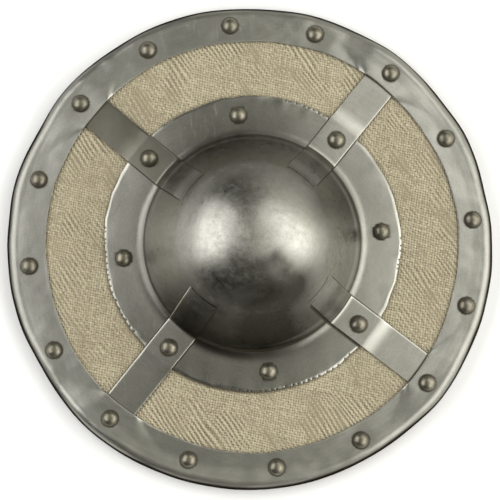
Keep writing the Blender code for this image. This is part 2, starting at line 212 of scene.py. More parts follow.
def spin_grid(radii, heights, steps=ROUND_STEPS):
    """Rows of points: one row for each radius and height, one column for each direction."""
    turn = np.linspace(0.0, math.tau, steps, endpoint=False)
    radii = np.asarray(radii, float).reshape(len(radii), -1)
    x, y = radii * np.cos(turn), radii * np.sin(turn)
    heights = np.asarray(heights, float).reshape(len(heights), -1)
    return np.stack([x, y, np.broadcast_to(heights, x.shape)], axis=-1)


def grid_normals(grid, round_about):
    """Unit normal at each point of a grid, on the side that looks up at its first row."""
    along = np.gradient(grid, axis=0)
    if round_about:
        across = np.roll(grid, -1, axis=1) - np.roll(grid, 1, axis=1)
    else:
        across = np.gradient(grid, axis=1)
    normal = np.cross(along, across)
    length = np.linalg.norm(normal, axis=-1, keepdims=True)
    normal = normal / np.maximum(length, 1e-12)
    return normal if normal[1, :, 2].mean() > 0.0 else -normal


def grid_faces(index, round_about):
    """Four-sided faces between the rows and columns of a grid of vertex numbers."""
    if round_about:
        index = np.concatenate([index, index[:, :1]], axis=1)
    corners = (index[:-1, :-1], index[1:, :-1], index[1:, 1:], index[:-1, 1:])
    return np.stack(corners, axis=-1).reshape(-1, 4)


def closed_faces(grid):
    """Faces of a grid whose rows and columns both run round."""
    index = np.arange(grid[..., 0].size).reshape(grid.shape[:2])
    return grid_faces(np.concatenate([index, index[:1]]), True)


def plate(grid, thickness, round_about, bulge=0.0002):
    """Vertices and faces of a closed plate under a grid, its cut edges slightly rounded."""
    rows, columns = grid.shape[:2]
    thickness = np.broadcast_to(thickness, (rows, columns))[..., None]
    under = grid - thickness * grid_normals(grid, round_about)
    top_index = np.arange(rows * columns).reshape(rows, columns)
    under_index = top_index + rows * columns
    if round_about:
        borders = [(top_index[0], top_index[1]), (top_index[-1], top_index[-2])]
    else:
        edge = np.concatenate(
            [top_index[0, :-1], top_index[:-1, -1], top_index[-1, :0:-1], top_index[:0:-1, 0]]
        )
        inner = top_index[1:-1, 1:-1]
        row = np.clip(edge // columns, 1, rows - 2) - 1
        column = np.clip(edge % columns, 1, columns - 2) - 1
        borders = [(edge, inner[row, column])]
    points = [grid.reshape(-1, 3), under.reshape(-1, 3)]
    faces = [grid_faces(top_index, round_about), grid_faces(under_index, round_about)[:, ::-1]]
    count = 2 * rows * columns
    for edge, inside in borders:
        outwards = points[0][edge] - points[0][inside]
        outwards /= np.maximum(np.linalg.norm(outwards, axis=1, keepdims=True), 1e-12)
        middle = 0.5 * (points[0][edge] + points[1][edge]) + bulge * outwards
        middle_index = count + np.arange(len(edge))
        count += len(edge)
        points.append(middle)
        bands = np.stack([edge, middle_index, edge + rows * columns])
        if edge is not borders[0][0]:
            bands = bands[::-1]
        faces.append(grid_faces(bands, True))
    return np.concatenate(points), np.concatenate(faces)


def add_piece(name, points, faces, finish, sharp=40.0):
    """Make a closed mesh of points and faces into an object, faces outwards and shaded smooth."""
    mesh = bpy.data.meshes.new(name)
    mesh.from_pydata(np.asarray(points).tolist(), [], np.asarray(faces).tolist())
    work = bmesh.new()
    work.from_mesh(mesh)
    bmesh.ops.remove_doubles(work, verts=work.verts, dist=1e-7)
    bmesh.ops.recalc_face_normals(work, faces=work.faces)
    work.to_mesh(mesh)
    work.free()
    return place_piece(name, mesh, finish, sharp)


def place_piece(name, mesh, finish, sharp=40.0):
    """Make a mesh into an object, shaded smooth but for edges sharper than so many degrees."""
    mesh.shade_smooth()
    mesh.set_sharp_from_angle(angle=math.radians(sharp))
    mesh.materials.clear()
    mesh.materials.append(finish)
    piece = bpy.data.objects.new(name, mesh)
    bpy.context.scene.collection.objects.link(piece)
    return piece


def mesh_points(mesh, what="co"):
    """The places of a mesh's vertices, or their normals."""
    values = np.zeros(len(mesh.vertices) * 3)
    mesh.vertices.foreach_get(what, values)
    return values.reshape(-1, 3)


def set_attribute(piece, name, values):
    """Give each vertex a number that the piece's finish reads."""
    attribute = piece.data.attributes.new(name, "FLOAT", "POINT")
    attribute.data.foreach_set("value", np.asarray(values, np.float32))


def polish_inside(piece, radius, limit, finish):
    """Give a second finish to the faces that lie within a distance of the boss's middle."""
    piece.data.materials.append(finish)
    for face in piece.data.polygons:
        face.material_index = int(radius[face.vertices[0]] < limit)


def stand_for(piece, slot, *nodes):
    """Let a piece ride on the body and stand for some solids, which are hidden. The slot is not
    used.
    """
    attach(piece, "root")
    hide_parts(*nodes)


# Node trees


class NodeTree:
    """A node tree with one method that adds any node."""

    def __init__(self, tree):
        self.tree = tree

    def node(self, kind, settings=None, inputs=None, output=0):
        """Add a node: its settings first, then the values or links of its sockets."""
        made = self.tree.nodes.new(kind)
        for name, value in (settings or {}).items():
            setattr(made, name, value)
        for key, value in (inputs or {}).items():
            self.connect(value, made.inputs[key])
        return Signal(self, made.outputs[output])

    def connect(self, value, socket):
        """Link a signal to a socket, or set the socket to a plain value."""
        if isinstance(value, Signal):
            self.tree.links.new(value.socket, socket)
        else:
            socket.default_value = value

    def join(self, x, y, z):
        """One vector of three numbers."""
        return self.node("ShaderNodeCombineXYZ", None, {0: x, 1: y, 2: z})


class Signal:
    """An output in a node tree. Arithmetic on it adds Math nodes."""

    def __init__(self, tree, socket):
        self.tree = tree
        self.socket = socket

    def math(self, operation, *values):
        return self.tree.node("ShaderNodeMath", {"operation": operation}, dict(enumerate(values)))

    def __add__(self, other):
        return self.math("ADD", self, other)

    def __sub__(self, other):
        return self.math("SUBTRACT", self, other)

    def __rsub__(self, other):
        return self.math("SUBTRACT", other, self)

    def __mul__(self, other):
        return self.math("MULTIPLY", self, other)

    def __truediv__(self, other):
        return self.math("DIVIDE", self, other)

    __radd__ = __add__
    __rmul__ = __mul__

    def power(self, exponent):
        return self.math("POWER", self, exponent)

    def floor(self):
        return self.math("FLOOR", self)

    def larger(self, other):
        return self.math("MAXIMUM", self, other)

    def cosine(self):
        return self.math("COSINE", self)

    def rise(self, low, high, to_low=0.0, to_high=1.0):
        """This signal from low to high, mapped smoothly and held within its new ends."""
        return self.tree.node(
            "ShaderNodeMapRange",
            {"interpolation_type": "SMOOTHSTEP"},
            {"Value": self, "From Min": low, "From Max": high, "To Min": to_low, "To Max": to_high},
        )


class Finish(NodeTree):
    """A material made of nodes round one Principled shader."""

    def __init__(self, name, **constants):
        self.material = bpy.data.materials.new(name)
        self.material.use_nodes = True
        super().__init__(self.material.node_tree)
        self.shader = self.tree.nodes["Principled BSDF"]
        for socket, value in constants.items():
            self.shader.inputs[socket_name(socket)].default_value = value

    def place(self):
        """The place on the piece."""
        return self.node("ShaderNodeTexCoord", output="Object")

    def spread(self, centre, scale, turn):
        """The place on the piece, measured from a centre, turned and stretched."""
        from_centre = self.vector("SUBTRACT", self.place(), centre)
        return self.node(
            "ShaderNodeMapping",
            {"vector_type": "POINT"},
            {"Vector": from_centre, "Rotation": turn, "Scale": scale},
        )

    def vector(self, operation, first, second):
        """Arithmetic on two vectors."""
        return self.node("ShaderNodeVectorMath", {"operation": operation}, {0: first, 1: second})

    def parts(self, vector):
        """The three numbers of a vector."""
        split = self.node("ShaderNodeSeparateXYZ", None, {0: vector})
        return [Signal(self, output) for output in split.socket.node.outputs]

    def noise(self, vector, scale, detail=2.0, roughness=0.5):
        """Smooth noise from zero to one."""
        return self.node(
            "ShaderNodeTexNoise",
            None,
            {"Vector": vector, "Scale": scale, "Detail": detail, "Roughness": roughness},
        )

    def chance(self, vector):
        """One random number for each whole step of a vector."""
        return self.node("ShaderNodeTexWhiteNoise", {"noise_dimensions": "3D"}, {"Vector": vector})

    def attribute(self, name):
        """A number that each vertex of the piece carries."""
        return self.node("ShaderNodeAttribute", {"attribute_name": name}, output="Fac")

    def mix(self, share, first, second):
        """A colour between two others."""
        return self.node(
            "ShaderNodeMix",
            {"data_type": "RGBA"},
            {0: share, 6: opaque(first), 7: opaque(second)},
            output=2,
        )

    def bump(self, height, distance, under=None):
        """A normal bent by a height, on top of another bump where one is given."""
        inputs = {"Height": height, "Distance": distance}
        if under is not None:
            inputs["Normal"] = under
        return self.node("ShaderNodeBump", None, inputs)

    def finish(self, **links):
        """Feed the shader's sockets and return the material."""
        for socket, value in links.items():
            self.connect(value, self.shader.inputs[socket_name(socket)])
        return self.material


def socket_name(word):
    """The name of a shader's socket from the name of a Python argument."""
    return word.replace("_", " ").title().replace("Ior", "IOR")


def opaque(colour):
    """A colour for a socket that wants an alpha as well."""
    return colour if isinstance(colour, Signal) else (*colour[:3], 1.0)


def darker(colour, share):
    """A share of a colour."""
    return tuple(share * part for part in colour)


def lighter(colour, share):
    """A colour made lighter, but not whiter than clean steel."""
    return tuple(min(share * part, 0.95) for part in colour)


# Finishes


def round_brushing(centre, fine, length):
    """Fine lines that run round a centre, as a turning buffing wheel leaves them."""

    def lines(finish):
        x, y, z = finish.parts(finish.vector("SUBTRACT", finish.place(), centre))
        radius = (x * x + y * y).power(0.5).larger(0.001)
        across = (radius - 0.8 * z) / fine
        around = finish.join(x / radius * length, y / radius * length, across)
        return finish.noise(around, 1.0, 3.0, 0.6)

    return lines


def strap_brushing(finish):
    """Slightly bowed lines across each strap, as a hand-drawn abrasive leaves them."""
    along = finish.attribute("lengthwise")
    across = finish.attribute("crosswise")
    bowed = along + 9.0 * across * across
    return finish.noise(finish.join(bowed * 2300.0, across * 90.0, along * 30.0), 1.0, 3.0, 0.65)


def scratches(finish, turn, seed):
    """Sparse thin scratches that all run one way."""
    spread = finish.spread((seed, 0.3 * seed, 0.0), (2400.0, 45.0, 45.0), (0.0, 0.0, turn))
    lines = finish.noise(spread, 1.0, 1.0, 0.4)
    return lines.rise(0.70, 0.80)


def steel_finish(name, colours, roughness, brushing, turns, mottle=0.0, gloss=0.0, **constants):
    """Aged steel: brushing, scratches, cloudy tarnish, dark patina and painted shade, soil with
    painted shade where pieces meet, and wear with painted highlights.

    The colours are those of the steel, of its patina and painted shade, and of its soil and painted
    shade, and the turns are the directions of the scratches in radians. Mottle is how uneven the
    gloss is, and gloss is how much the patina and painted shade add to it.
    """
    finish = Finish(name, metallic=1.0, anisotropic_rotation=0.25, **constants)
    colour, patina_and_shade, soil_and_shade = colours
    lines = brushing(finish)
    cloud = finish.noise(finish.place(), 38.0, 4.0, 0.62)
    patches = finish.noise(finish.place(), 260.0, 3.0, 0.65)
    speck = finish.noise(finish.place(), 1100.0, 2.0, 0.7)
    marks = scratches(finish, 0.5, 0.0)
    for number, turn in enumerate(turns, 1):
        marks = marks.larger(scratches(finish, turn, 0.7 * number))
    dirt_and_shade = finish.attribute("dirt_and_shade") * cloud.rise(0.1, 0.6, 0.65, 1.0)
    wear_and_highlight = finish.attribute("wear_and_highlight")
    darkened = finish.attribute("patina_and_shade")
    tarnish = cloud.rise(0.45, 0.75) * 0.35 + speck.rise(0.40, 0.68) * 0.45
    dull = tuple(0.70 * part * tint for part, tint in zip(colour, (1.0, 0.985, 0.92)))
    tone = finish.mix(tarnish, colour, dull)
    tone = finish.mix(lines.rise(0.35, 0.7) * 0.35, tone, lighter(colour, 1.3))
    # Wear and painted highlights: lighter steel
    tone = finish.mix(wear_and_highlight * 0.8, tone, lighter(colour, 2.1))
    # Patina and painted shade
    tone = finish.mix(darkened * (0.8 + 0.4 * cloud), tone, patina_and_shade)
    # Soil and painted shade where pieces meet
    tone = finish.mix(dirt_and_shade.rise(0.05, 0.95), tone, soil_and_shade)
    rough = roughness + 0.15 * (cloud - 0.5) + 0.16 * (lines - 0.5) - gloss * darkened
    rough = rough + mottle * (patches - 0.5) - 0.06 * wear_and_highlight + 0.25 * dirt_and_shade
    height = finish.bump(lines, 0.000014)
    height = finish.bump(1.0 - marks, 0.000014, height)
    height = finish.bump(cloud, 0.00012, height)
    height = finish.bump(patches, 0.00012 * mottle, height)
    return finish.finish(
        base_color=tone,
        roughness=rough,
        metallic=1.0 - 0.45 * dirt_and_shade.rise(0.4, 1.0),
        normal=height,
    )


def linen_finish(light, dark, gap):
    """Coarse plain weave: each thread has its own tone, and the gaps between threads get painted
    shade.
    """
    finish = Finish("linen_weave", specular_ior_level=0.15, sheen_weight=0.25, sheen_roughness=0.5)
    u, v, _ = finish.parts(finish.node("ShaderNodeTexCoord", output="UV"))
    warp = (u + 0.5).floor()
    weft = (v + 0.5).floor()
    # Which of the two threads lies on top at this crossing
    over = (((warp + weft) * math.pi).cosine() * 0.5 + 0.5).rise(0.4, 0.6)
    across_warp = (u * math.tau).cosine()
    across_weft = (v * math.tau).cosine()
    crown = (across_warp * (1.0 - 0.35 * over) + across_weft * (0.65 + 0.35 * over)) * 0.5
    warp_tone = finish.chance(finish.join(warp, 3.0, (v * 0.06).floor()))
    weft_tone = finish.chance(finish.join(7.0, weft, (u * 0.06).floor()))
    crossing = finish.chance(finish.join(warp, weft, 11.0))
    thread = (warp_tone * 0.5 + 0.15) * over + weft_tone * 0.5 * (1.0 - over) + crossing * 0.4
    # Ridges where the cloth was pulled, slantwise through the crossings
    slant = (u + v) * 0.5
    length = (v - u) * 0.5
    wander = finish.noise(finish.join(slant * 0.10, length * 0.03, 2.0), 1.0, 2.0, 0.5)
    ridge = (slant * (0.83 * math.tau) + wander * 24.0).cosine()
    patch = finish.noise(finish.place(), 48.0, 2.0, 0.5).rise(0.37, 0.60, 0.05, 1.0)
    pulled = finish.attribute("pulled") * patch
    knots = finish.noise(finish.join(u * 0.9, v * 0.9, 5.0), 1.0, 2.0, 0.6)
    slub = finish.noise(finish.join(u * 0.9, v * 0.25, 0.0), 1.0, 3.0, 0.6)
    slub_across = finish.noise(finish.join(u * 0.25, v * 0.9, 4.0), 1.0, 3.0, 0.6)
    cloud = finish.noise(finish.place(), 30.0, 4.0, 0.6)
    twist = finish.noise(finish.join((u + v) * 3.2, (u - v) * 0.8, 0.0), 1.0, 2.0, 0.6)
    speck = finish.noise(finish.join(u * 0.7, v * 0.7, 9.0), 1.0, 1.0, 0.5).rise(0.72, 0.80)
    tone = finish.mix(0.75 * thread + 0.35 * (1.0 - cloud), light, dark)
    tone = finish.mix((slub.rise(0.5, 0.75) + slub_across.rise(0.5, 0.75)) * 0.35, tone, light)
    # Painted shade in the gaps between the threads
    tone = finish.mix(crown.rise(0.35, -0.75) * knots.rise(0.35, 0.65, 0.22, 0.80), tone, gap)
    # Painted shade in the ridges' troughs and painted light on their crests
    tone = finish.mix(ridge.rise(0.2, -0.8) * pulled * 0.5, tone, gap)
    tone = finish.mix(ridge.rise(0.0, 0.9) * pulled * 0.6, tone, light)
    stain = finish.noise(finish.join(slant * 0.13, length * 0.05, 13.0), 1.0, 3.0, 0.65)
    tone = finish.mix(stain.rise(0.50, 0.68) * (0.75 - 0.45 * ridge), tone, dark)
    # Dark specks, and painted shadow along the steel's edges
    tone = finish.mix(speck * 0.6 + finish.attribute("dirt_and_shade") * 0.75, tone, gap)
    height = finish.bump(crown + 0.25 * thread + 0.7 * ridge * pulled, 0.00026)
    height = finish.bump(twist, 0.00008, height)
    return finish.finish(base_color=tone, roughness=0.86 + 0.1 * (cloud - 0.5), normal=height)


def wood_finish(light, dark, plank):
    """Oiled planks glued edge to edge, their grain along X."""
    finish = Finish("oiled_planks", specular_ior_level=0.35)
    x, y, z = finish.parts(finish.place())
    board = (y / plank + 0.5).floor()
    own = finish.chance(finish.join(board, 2.0, 5.0))
    bend = finish.noise(finish.join(x * 5.0, y * 9.0, own * 20.0), 1.0, 2.0, 0.5)
    rings = ((y * 420.0 + bend * 14.0 + own * 40.0 + z * 60.0).cosine() * 0.5 + 0.5).power(1.6)
    fibre = finish.noise(finish.join(x * 55.0, y * 1500.0, z * 900.0), 1.0, 3.0, 0.6)
    cloud = finish.noise(finish.place(), 14.0, 3.0, 0.6)
    aside = y / plank - board
    joint = (aside * aside).power(0.5).rise(0.488, 0.497)
    tone = finish.mix(0.45 * rings + 0.35 * fibre + 0.25 * own - 0.1, light, dark)
    tone = finish.mix(cloud.rise(0.5, 0.8) * 0.35 + joint * 0.8, tone, darker(dark, 0.35))
    height = finish.bump(fibre - 0.4 * rings, 0.00012)
    height = finish.bump(1.0 - joint, 0.0006, height)
    return finish.finish(base_color=tone, roughness=0.52 + 0.22 * fibre, normal=height)


def leather_finish(colour, worn_colour):
    """Dark oiled leather with pores, creases and rubbed high places."""
    finish = Finish("grip_leather_oiled", specular_ior_level=0.45)
    pores = finish.node(
        "ShaderNodeTexVoronoi",
        {"feature": "DISTANCE_TO_EDGE"},
        {"Vector": finish.place(), "Scale": 900.0},
    )
    spread = finish.spread((0.0, 0.0, 0.0), (900.0, 160.0, 160.0), (0.0, 0.0, 0.0))
    crease = finish.noise(spread, 0.35, 3.0, 0.6)
    cloud = finish.noise(finish.place(), 60.0, 3.0, 0.6)
    brightened = finish.attribute("wear_and_highlight") * cloud.rise(0.3, 0.7, 0.4, 1.0)
    tone = finish.mix(brightened * 0.8, colour, worn_colour)
    tone = finish.mix(crease.rise(0.55, 0.75) * 0.5, tone, darker(colour, 0.45))
    height = finish.bump(pores.rise(0.0, 0.12), 0.00010)
    height = finish.bump(crease, 0.00025, height)
    rough = 0.52 + 0.2 * (cloud - 0.5) - 0.12 * brightened
    return finish.finish(base_color=tone, roughness=rough, normal=height)


def thread_finish(colour):
    """Waxed thread of a few twisted strands."""
    finish = Finish("waxed_thread", specular_ior_level=0.3)
    ply = finish.noise(finish.place(), 2600.0, 2.0, 0.6)
    tone = finish.mix(ply.rise(0.3, 0.7), darker(colour, 0.55), colour)
    return finish.finish(
        base_color=tone, roughness=0.6 + 0.2 * ply, normal=finish.bump(ply, 0.0001)
    )


def floor_finish(colour):
    """Plain pale paper with a faint grain."""
    finish = Finish("pale_paper", specular_ior_level=0.1)
    grain = finish.noise(finish.place(), 300.0, 2.0, 0.5)
    tone = finish.mix(grain, colour, darker(colour, 0.985))
    return finish.finish(base_color=tone, roughness=0.9 + 0.05 * grain)


# Settings


def length_setting(name, default, description, most=0.5):
    return FloatProperty(
        name=name, description=description, default=default, min=0.0, max=most,
        subtype="DISTANCE", unit="LENGTH", precision=5,
    )


def colour_setting(name, default, description):
    return FloatVectorProperty(
        name=name, description=description, default=default, size=3, min=0.0, max=1.0,
        subtype="COLOR",
    )


def share_setting(name, default, description, most=1.0):
    return FloatProperty(name=name, description=description, default=default, min=0.0, max=most)


def angle_setting(name, degrees, description):
    return FloatProperty(
        name=name, description=description, default=math.radians(degrees),
        subtype="ANGLE", unit="ROTATION",
    )


def number_setting(name, default, description):
    return FloatProperty(name=name, description=description, default=default)


class RimSettings(bpy.types.PropertyGroup):
    inner_radius: length_setting("Inner Radius", 0.1357, "Radius of the band's cut inner edge")
    roll_radius: length_setting("Roll Radius", 0.0068, "Radius of the rolled outer edge")
    roll_centre: length_setting("Roll Centre", 0.1532, "Radius of the middle of the roll")
    back_radius: length_setting("Back Radius", 0.1395, "Radius of the back flange's inner edge")
    shift: length_setting("Inner Shift", 0.0016, "Shift of the inner edge along X")
    hammering: length_setting("Hammering", 0.00010, "Height of the hammered waves")
    dimple: length_setting("Rivet Dimple", 0.00022, "Depth of the dimple round each rivet")
    colour: colour_setting("Steel", (0.288, 0.286, 0.257), "Colour of the rim's steel")
    # The patina colour paints shade on the roll's outer side and the band's left side; the soil
    # colour is soil with painted shade
    patina_and_shade: colour_setting("Patina", (0.030, 0.026, 0.020), "Colour of the dark outer edge")
    soil_and_shade: colour_setting("Soil", (0.055, 0.045, 0.030), "Colour of the soil round the rivets")
    roughness: share_setting("Roughness", 0.37, "Roughness of the rim's steel")


class BossSettings(bpy.types.PropertyGroup):
    flange_radius: length_setting("Flange Radius", 0.0972, "Mean radius of the snipped flange")
    bevel: length_setting("Edge Bevel", 0.0018, "Width of the filed bevel along the flange's edge")
    bevel_drop: length_setting("Bevel Drop", 0.00062, "How far the bevel falls")
    foot_radius: length_setting("Foot Radius", 0.0697, "Radius at the top of the foot's fillet")
    fillet: length_setting("Foot Fillet", 0.0079, "Radius of the fillet at the cone's foot")
    cap_radius: length_setting("Cap Radius", 0.059, "Radius of the rounded cap")
    cone_slope: angle_setting("Cone Slope", 58.5, "Slope of the cone's side")
    cap_slope: angle_setting("Cap Slope", 57.0, "Slope where the cap meets the cone")
    hammering: length_setting("Hammering", 0.00005, "Height of the planished waves")
    colour: colour_setting("Steel", (0.265, 0.261, 0.232), "Colour of the flange's steel")
    polished: colour_setting("Polished Steel", (0.35, 0.345, 0.31), "Colour of the dome's steel")
    # The patina colour also paints shade on the dome, round the foot and on the flange; the soil
    # colour is soil with painted shade
    patina_and_shade: colour_setting("Patina", (0.048, 0.045, 0.037), "Colour of the dome's tarnished foot")
    soil_and_shade: colour_setting("Soil", (0.040, 0.032, 0.020), "Colour of the soil in the corners")
    roughness: share_setting("Roughness", 0.35, "Roughness of the boss's steel")


class StrapSettings(bpy.types.PropertyGroup):
    bend: length_setting("Bend", 0.0030, "Radius of the bend at the boss's foot")
    outer_radius: length_setting("Outer Radius", 0.1500, "Where a strap ends under the rim")
    step_top: length_setting("Step Top", 0.0970, "Where a strap begins to step down")
    step_foot: length_setting("Step Foot", 0.1090, "Where a strap reaches the linen")
    colour: colour_setting("Steel", (0.34, 0.335, 0.300), "Colour of the straps' steel")
    # The patina colour paints shade on the straps; the soil colour is soil with painted shade
    patina_and_shade: colour_setting("Patina", (0.092, 0.085, 0.064), "Colour of the dark straps")
    soil_and_shade: colour_setting("Soil", (0.055, 0.044, 0.028), "Colour of the soil round the rivets")
    roughness: share_setting("Roughness", 0.37, "Roughness of the straps' steel")


class LinenSettings(bpy.types.PropertyGroup):
    pitch: length_setting("Thread Pitch", 0.00166, "Distance from one thread to the next")
    relief: length_setting("Relief", 0.00016, "Height of the threads' crowns over the gaps")
    wave: length_setting("Thread Wave", 0.0007, "How far the threads wander from straight lines")
    wrinkle: length_setting("Wrinkles", 0.00028, "Height of the pulled wrinkles")
    light: colour_setting("Light Thread", (0.59, 0.525, 0.366), "Colour of the lightest threads")
    dark: colour_setting("Dark Thread", (0.28, 0.24, 0.158), "Colour of the darkest threads")
    # The gap colour is painted shade between the threads and in the ridges' troughs
    gap: colour_setting("Gap", (0.063, 0.051, 0.031), "Colour between the threads")


class RivetSettings(bpy.types.PropertyGroup):
    head_radius: length_setting("Head Radius", 0.0056, "Radius of a round head")
    head_height: length_setting("Head Height", 0.0047, "Height of a round head")
    shank_radius: length_setting("Shank Radius", 0.0020, "Radius of a shank")
    tail_radius: length_setting("Tail Radius", 0.0036, "Radius of a peened tail")
    tail_height: length_setting("Tail Height", 0.0012, "Height of a peened tail")
    spread: share_setting("Size Spread", 0.02, "How much the heads differ in size")
    seed: IntProperty(name="Seed", description="Seed of the differences", default=4)
    colour: colour_setting("Steel", (0.215, 0.200, 0.155), "Colour of the aged rivets")
    roughness: share_setting("Roughness", 0.38, "Roughness of the aged rivets")


class BoardSettings(bpy.types.PropertyGroup):
    radius: length_setting("Radius", 0.1545, "Radius of the board")
    rounding: length_setting("Edge Rounding", 0.0012, "Rounding of the hand hole's edges")
    plank: length_setting("Plank Width", 0.054, "Width of one plank")
    light: colour_setting("Light Wood", (0.46, 0.29, 0.145), "Colour of the early wood")
    dark: colour_setting("Dark Wood", (0.22, 0.12, 0.055), "Colour of the late wood")


class GripSettings(bpy.types.PropertyGroup):
    width: length_setting("Bar Width", 0.022, "Width of the forged bar")
    thickness: length_setting("Bar Thickness", 0.003, "Thickness of the forged bar")
    end: length_setting("Bar Half Length", 0.0965, "Distance of the bar's ends from its middle")
    shoulder: length_setting("Shoulder", 0.0605, "Where the bar starts to rise")
    knee: length_setting("Knee", 0.0500, "Where the bar is level again")
    rise: length_setting("Rise", 0.009, "How far the bar's middle rises")
    wrap_half_length: length_setting("Sleeve Half Length", 0.046, "Half length of the leather")
    wrap_half_width: length_setting("Sleeve Half Width", 0.0145, "Half width of the leather")
    wrap_half_height: length_setting("Sleeve Half Height", 0.0052, "Half height of the leather")
    stitch_pitch: length_setting("Stitch Pitch", 0.0042, "Distance between stitches")
    stitch_length: length_setting("Stitch Length", 0.0046, "Length of one stitch")
    stitch_radius: length_setting("Thread Radius", 0.00042, "Radius of the sewing thread")
    iron: colour_setting("Iron", (0.20, 0.19, 0.175), "Colour of the forged bar")
    leather: colour_setting("Leather", (0.095, 0.048, 0.026), "Colour of the leather")
    brightened: colour_setting("Rubbed Leather", (0.23, 0.125, 0.066), "Colour of rubbed leather")
    thread: colour_setting("Thread", (0.52, 0.42, 0.27), "Colour of the sewing thread")


class StageSettings(bpy.types.PropertyGroup):
    distance: length_setting("Camera Distance", 1.5, "Distance of the camera", 10.0)
    focal: number_setting("Focal Length", 163.6, "Focal length of the lens in millimetres")
    tilt: angle_setting("Tilt", 5.5, "Lean of the camera from straight above")
    roll: angle_setting("Roll", -6.0, "Turn of the camera about its own line")
    left_light: number_setting("Left Light", 3.1, "Brightness of the left soft light")
    right_light: number_setting("Right Light", 2.6, "Brightness of the right soft light")
    upper_light: number_setting("Upper Light", 2.0, "Brightness of the upper soft light")
    sky_middle: share_setting("Middle Sky", 0.24, "Extra brightness straight above", 5.0)
    sky_top: share_setting("Upper Sky", 0.31, "Brightness of the sky beyond the top", 5.0)
    sky_bottom: share_setting("Lower Sky", 0.10, "Brightness of the sky beyond the bottom", 5.0)
    sky_edge: share_setting("Low Sky", 0.35, "Extra brightness near the horizon", 5.0)
    sky_lean: share_setting("Sky Lean", 2.0, "How much brighter the sky is on the right", 5.0)
    floor: colour_setting("Floor", (0.93, 0.93, 0.925), "Colour of the floor")


# Rim


RIM_DENTS = (
    # direction and half width in degrees, depth outwards
    (20, 14, 0.0008),
    (81, 20, -0.0010),
    (126, 13, 0.0006),
    (159, 12, 0.0013),
    (205, 14, -0.0014),
    (293, 16, -0.0008),
    (6, 9, -0.0006),
)


def rim_grid(settings):
    """The rim's outer surface, from its front inner edge over the roll to its back edge."""
    centre, roll = settings.roll_centre, settings.roll_radius
    band = np.linspace(settings.inner_radius + 0.0012, centre, 20)
    arc = np.radians(np.linspace(86.0, -90.0, 34))
    back = np.linspace(0.1504, settings.back_radius, 7)
    # Radii and heights of the cut edge, the band, the roll, the crimp behind it, and the flange
    stretches = (
        (
            settings.inner_radius + np.array((0.0, 0.00025, 0.0006)),
            PLATE_TOP - np.array((0.00018, 0.00004, 0.0)),
        ),
        (band, np.full_like(band, PLATE_TOP)),
        (centre + roll * np.cos(arc), roll + roll * np.sin(arc)),
        ((0.1525, 0.1518, 0.1511), (0.0, 0.0009, BACK_FLANGE_UNDER)),
        (back, np.full_like(back, BACK_FLANGE_UNDER)),
    )
    radii, heights = (np.concatenate(rows) for rows in zip(*stretches))
    return spin_grid(radii, heights)


def hammer_rim(grid, settings):
    """Wave the rim's outline, shift its inner edge, and lift it over the straps."""
    x, y, height = grid[..., 0], grid[..., 1], grid[..., 2]
    radius, turn = np.hypot(x, y), np.arctan2(y, x)
    degrees = np.degrees(turn)
    in_front = np.clip((height - settings.roll_radius) / settings.roll_radius, 0.0, 1.0)
    band = settings.roll_centre - settings.inner_radius
    inner = in_front * np.clip((settings.roll_centre - radius) / band, 0.0, 1.0)
    # The outline is dented, bulges at the straps' ends, and waves a little everywhere
    outline = sum(depth * lobe(degrees, at, half) for at, half, depth in RIM_DENTS)
    outline = outline + sum(0.0008 * lobe(degrees, at, 11.0) for at in STRAP_ANGLES)
    outline = outline + 0.00018 * ripple(x / radius * 0.16, y / radius * 0.16, 0.045, 5)
    wobble = 0.0004 * np.sin(7.0 * turn + math.radians(40)) + 0.00016 * np.sin(23.0 * turn + 1.0)
    reach = radius + outline * ease(radius, 0.1475, 0.1548) + wobble * inner
    x = reach * np.cos(turn) + settings.shift * inner
    y = reach * np.sin(turn)
    # It is lifted over each strap, and comes down beside it more gently further out
    _, side = strap_places(x, y)
    strap_side = 0.5 * STRAP_WIDTH + 0.0008
    ramp = 0.0048 + 0.024 * np.clip((radius - settings.inner_radius) / 0.011, 0.0, 1.0)
    lift = LAP * in_front * (1.0 - ease(side, strap_side, strap_side + ramp))
    # The band swells outside each rivet and settles between them
    first = math.atan2(RIM_RIVET_PLACES[0][1], RIM_RIVET_PLACES[0][0])
    between = 0.5 - 0.5 * np.cos(len(RIM_RIVETS) * (turn - first))
    settled = between * ease(radius, 0.1425, 0.1550) - ease(radius, 0.1445, 0.1530)
    sag = 0.00045 * settled * in_front
    dimple = settings.dimple * dimples(x, y, RIM_RIVET_PLACES) * in_front
    waves = settings.hammering * (ripple(x, y, 0.026, 11) + 0.45 * ripple(x, y, 0.011, 12))
    rise = dish(np.hypot(x, y)) + lift - sag - dimple + waves * in_front
    return np.stack([x, y, height + rise], axis=-1)


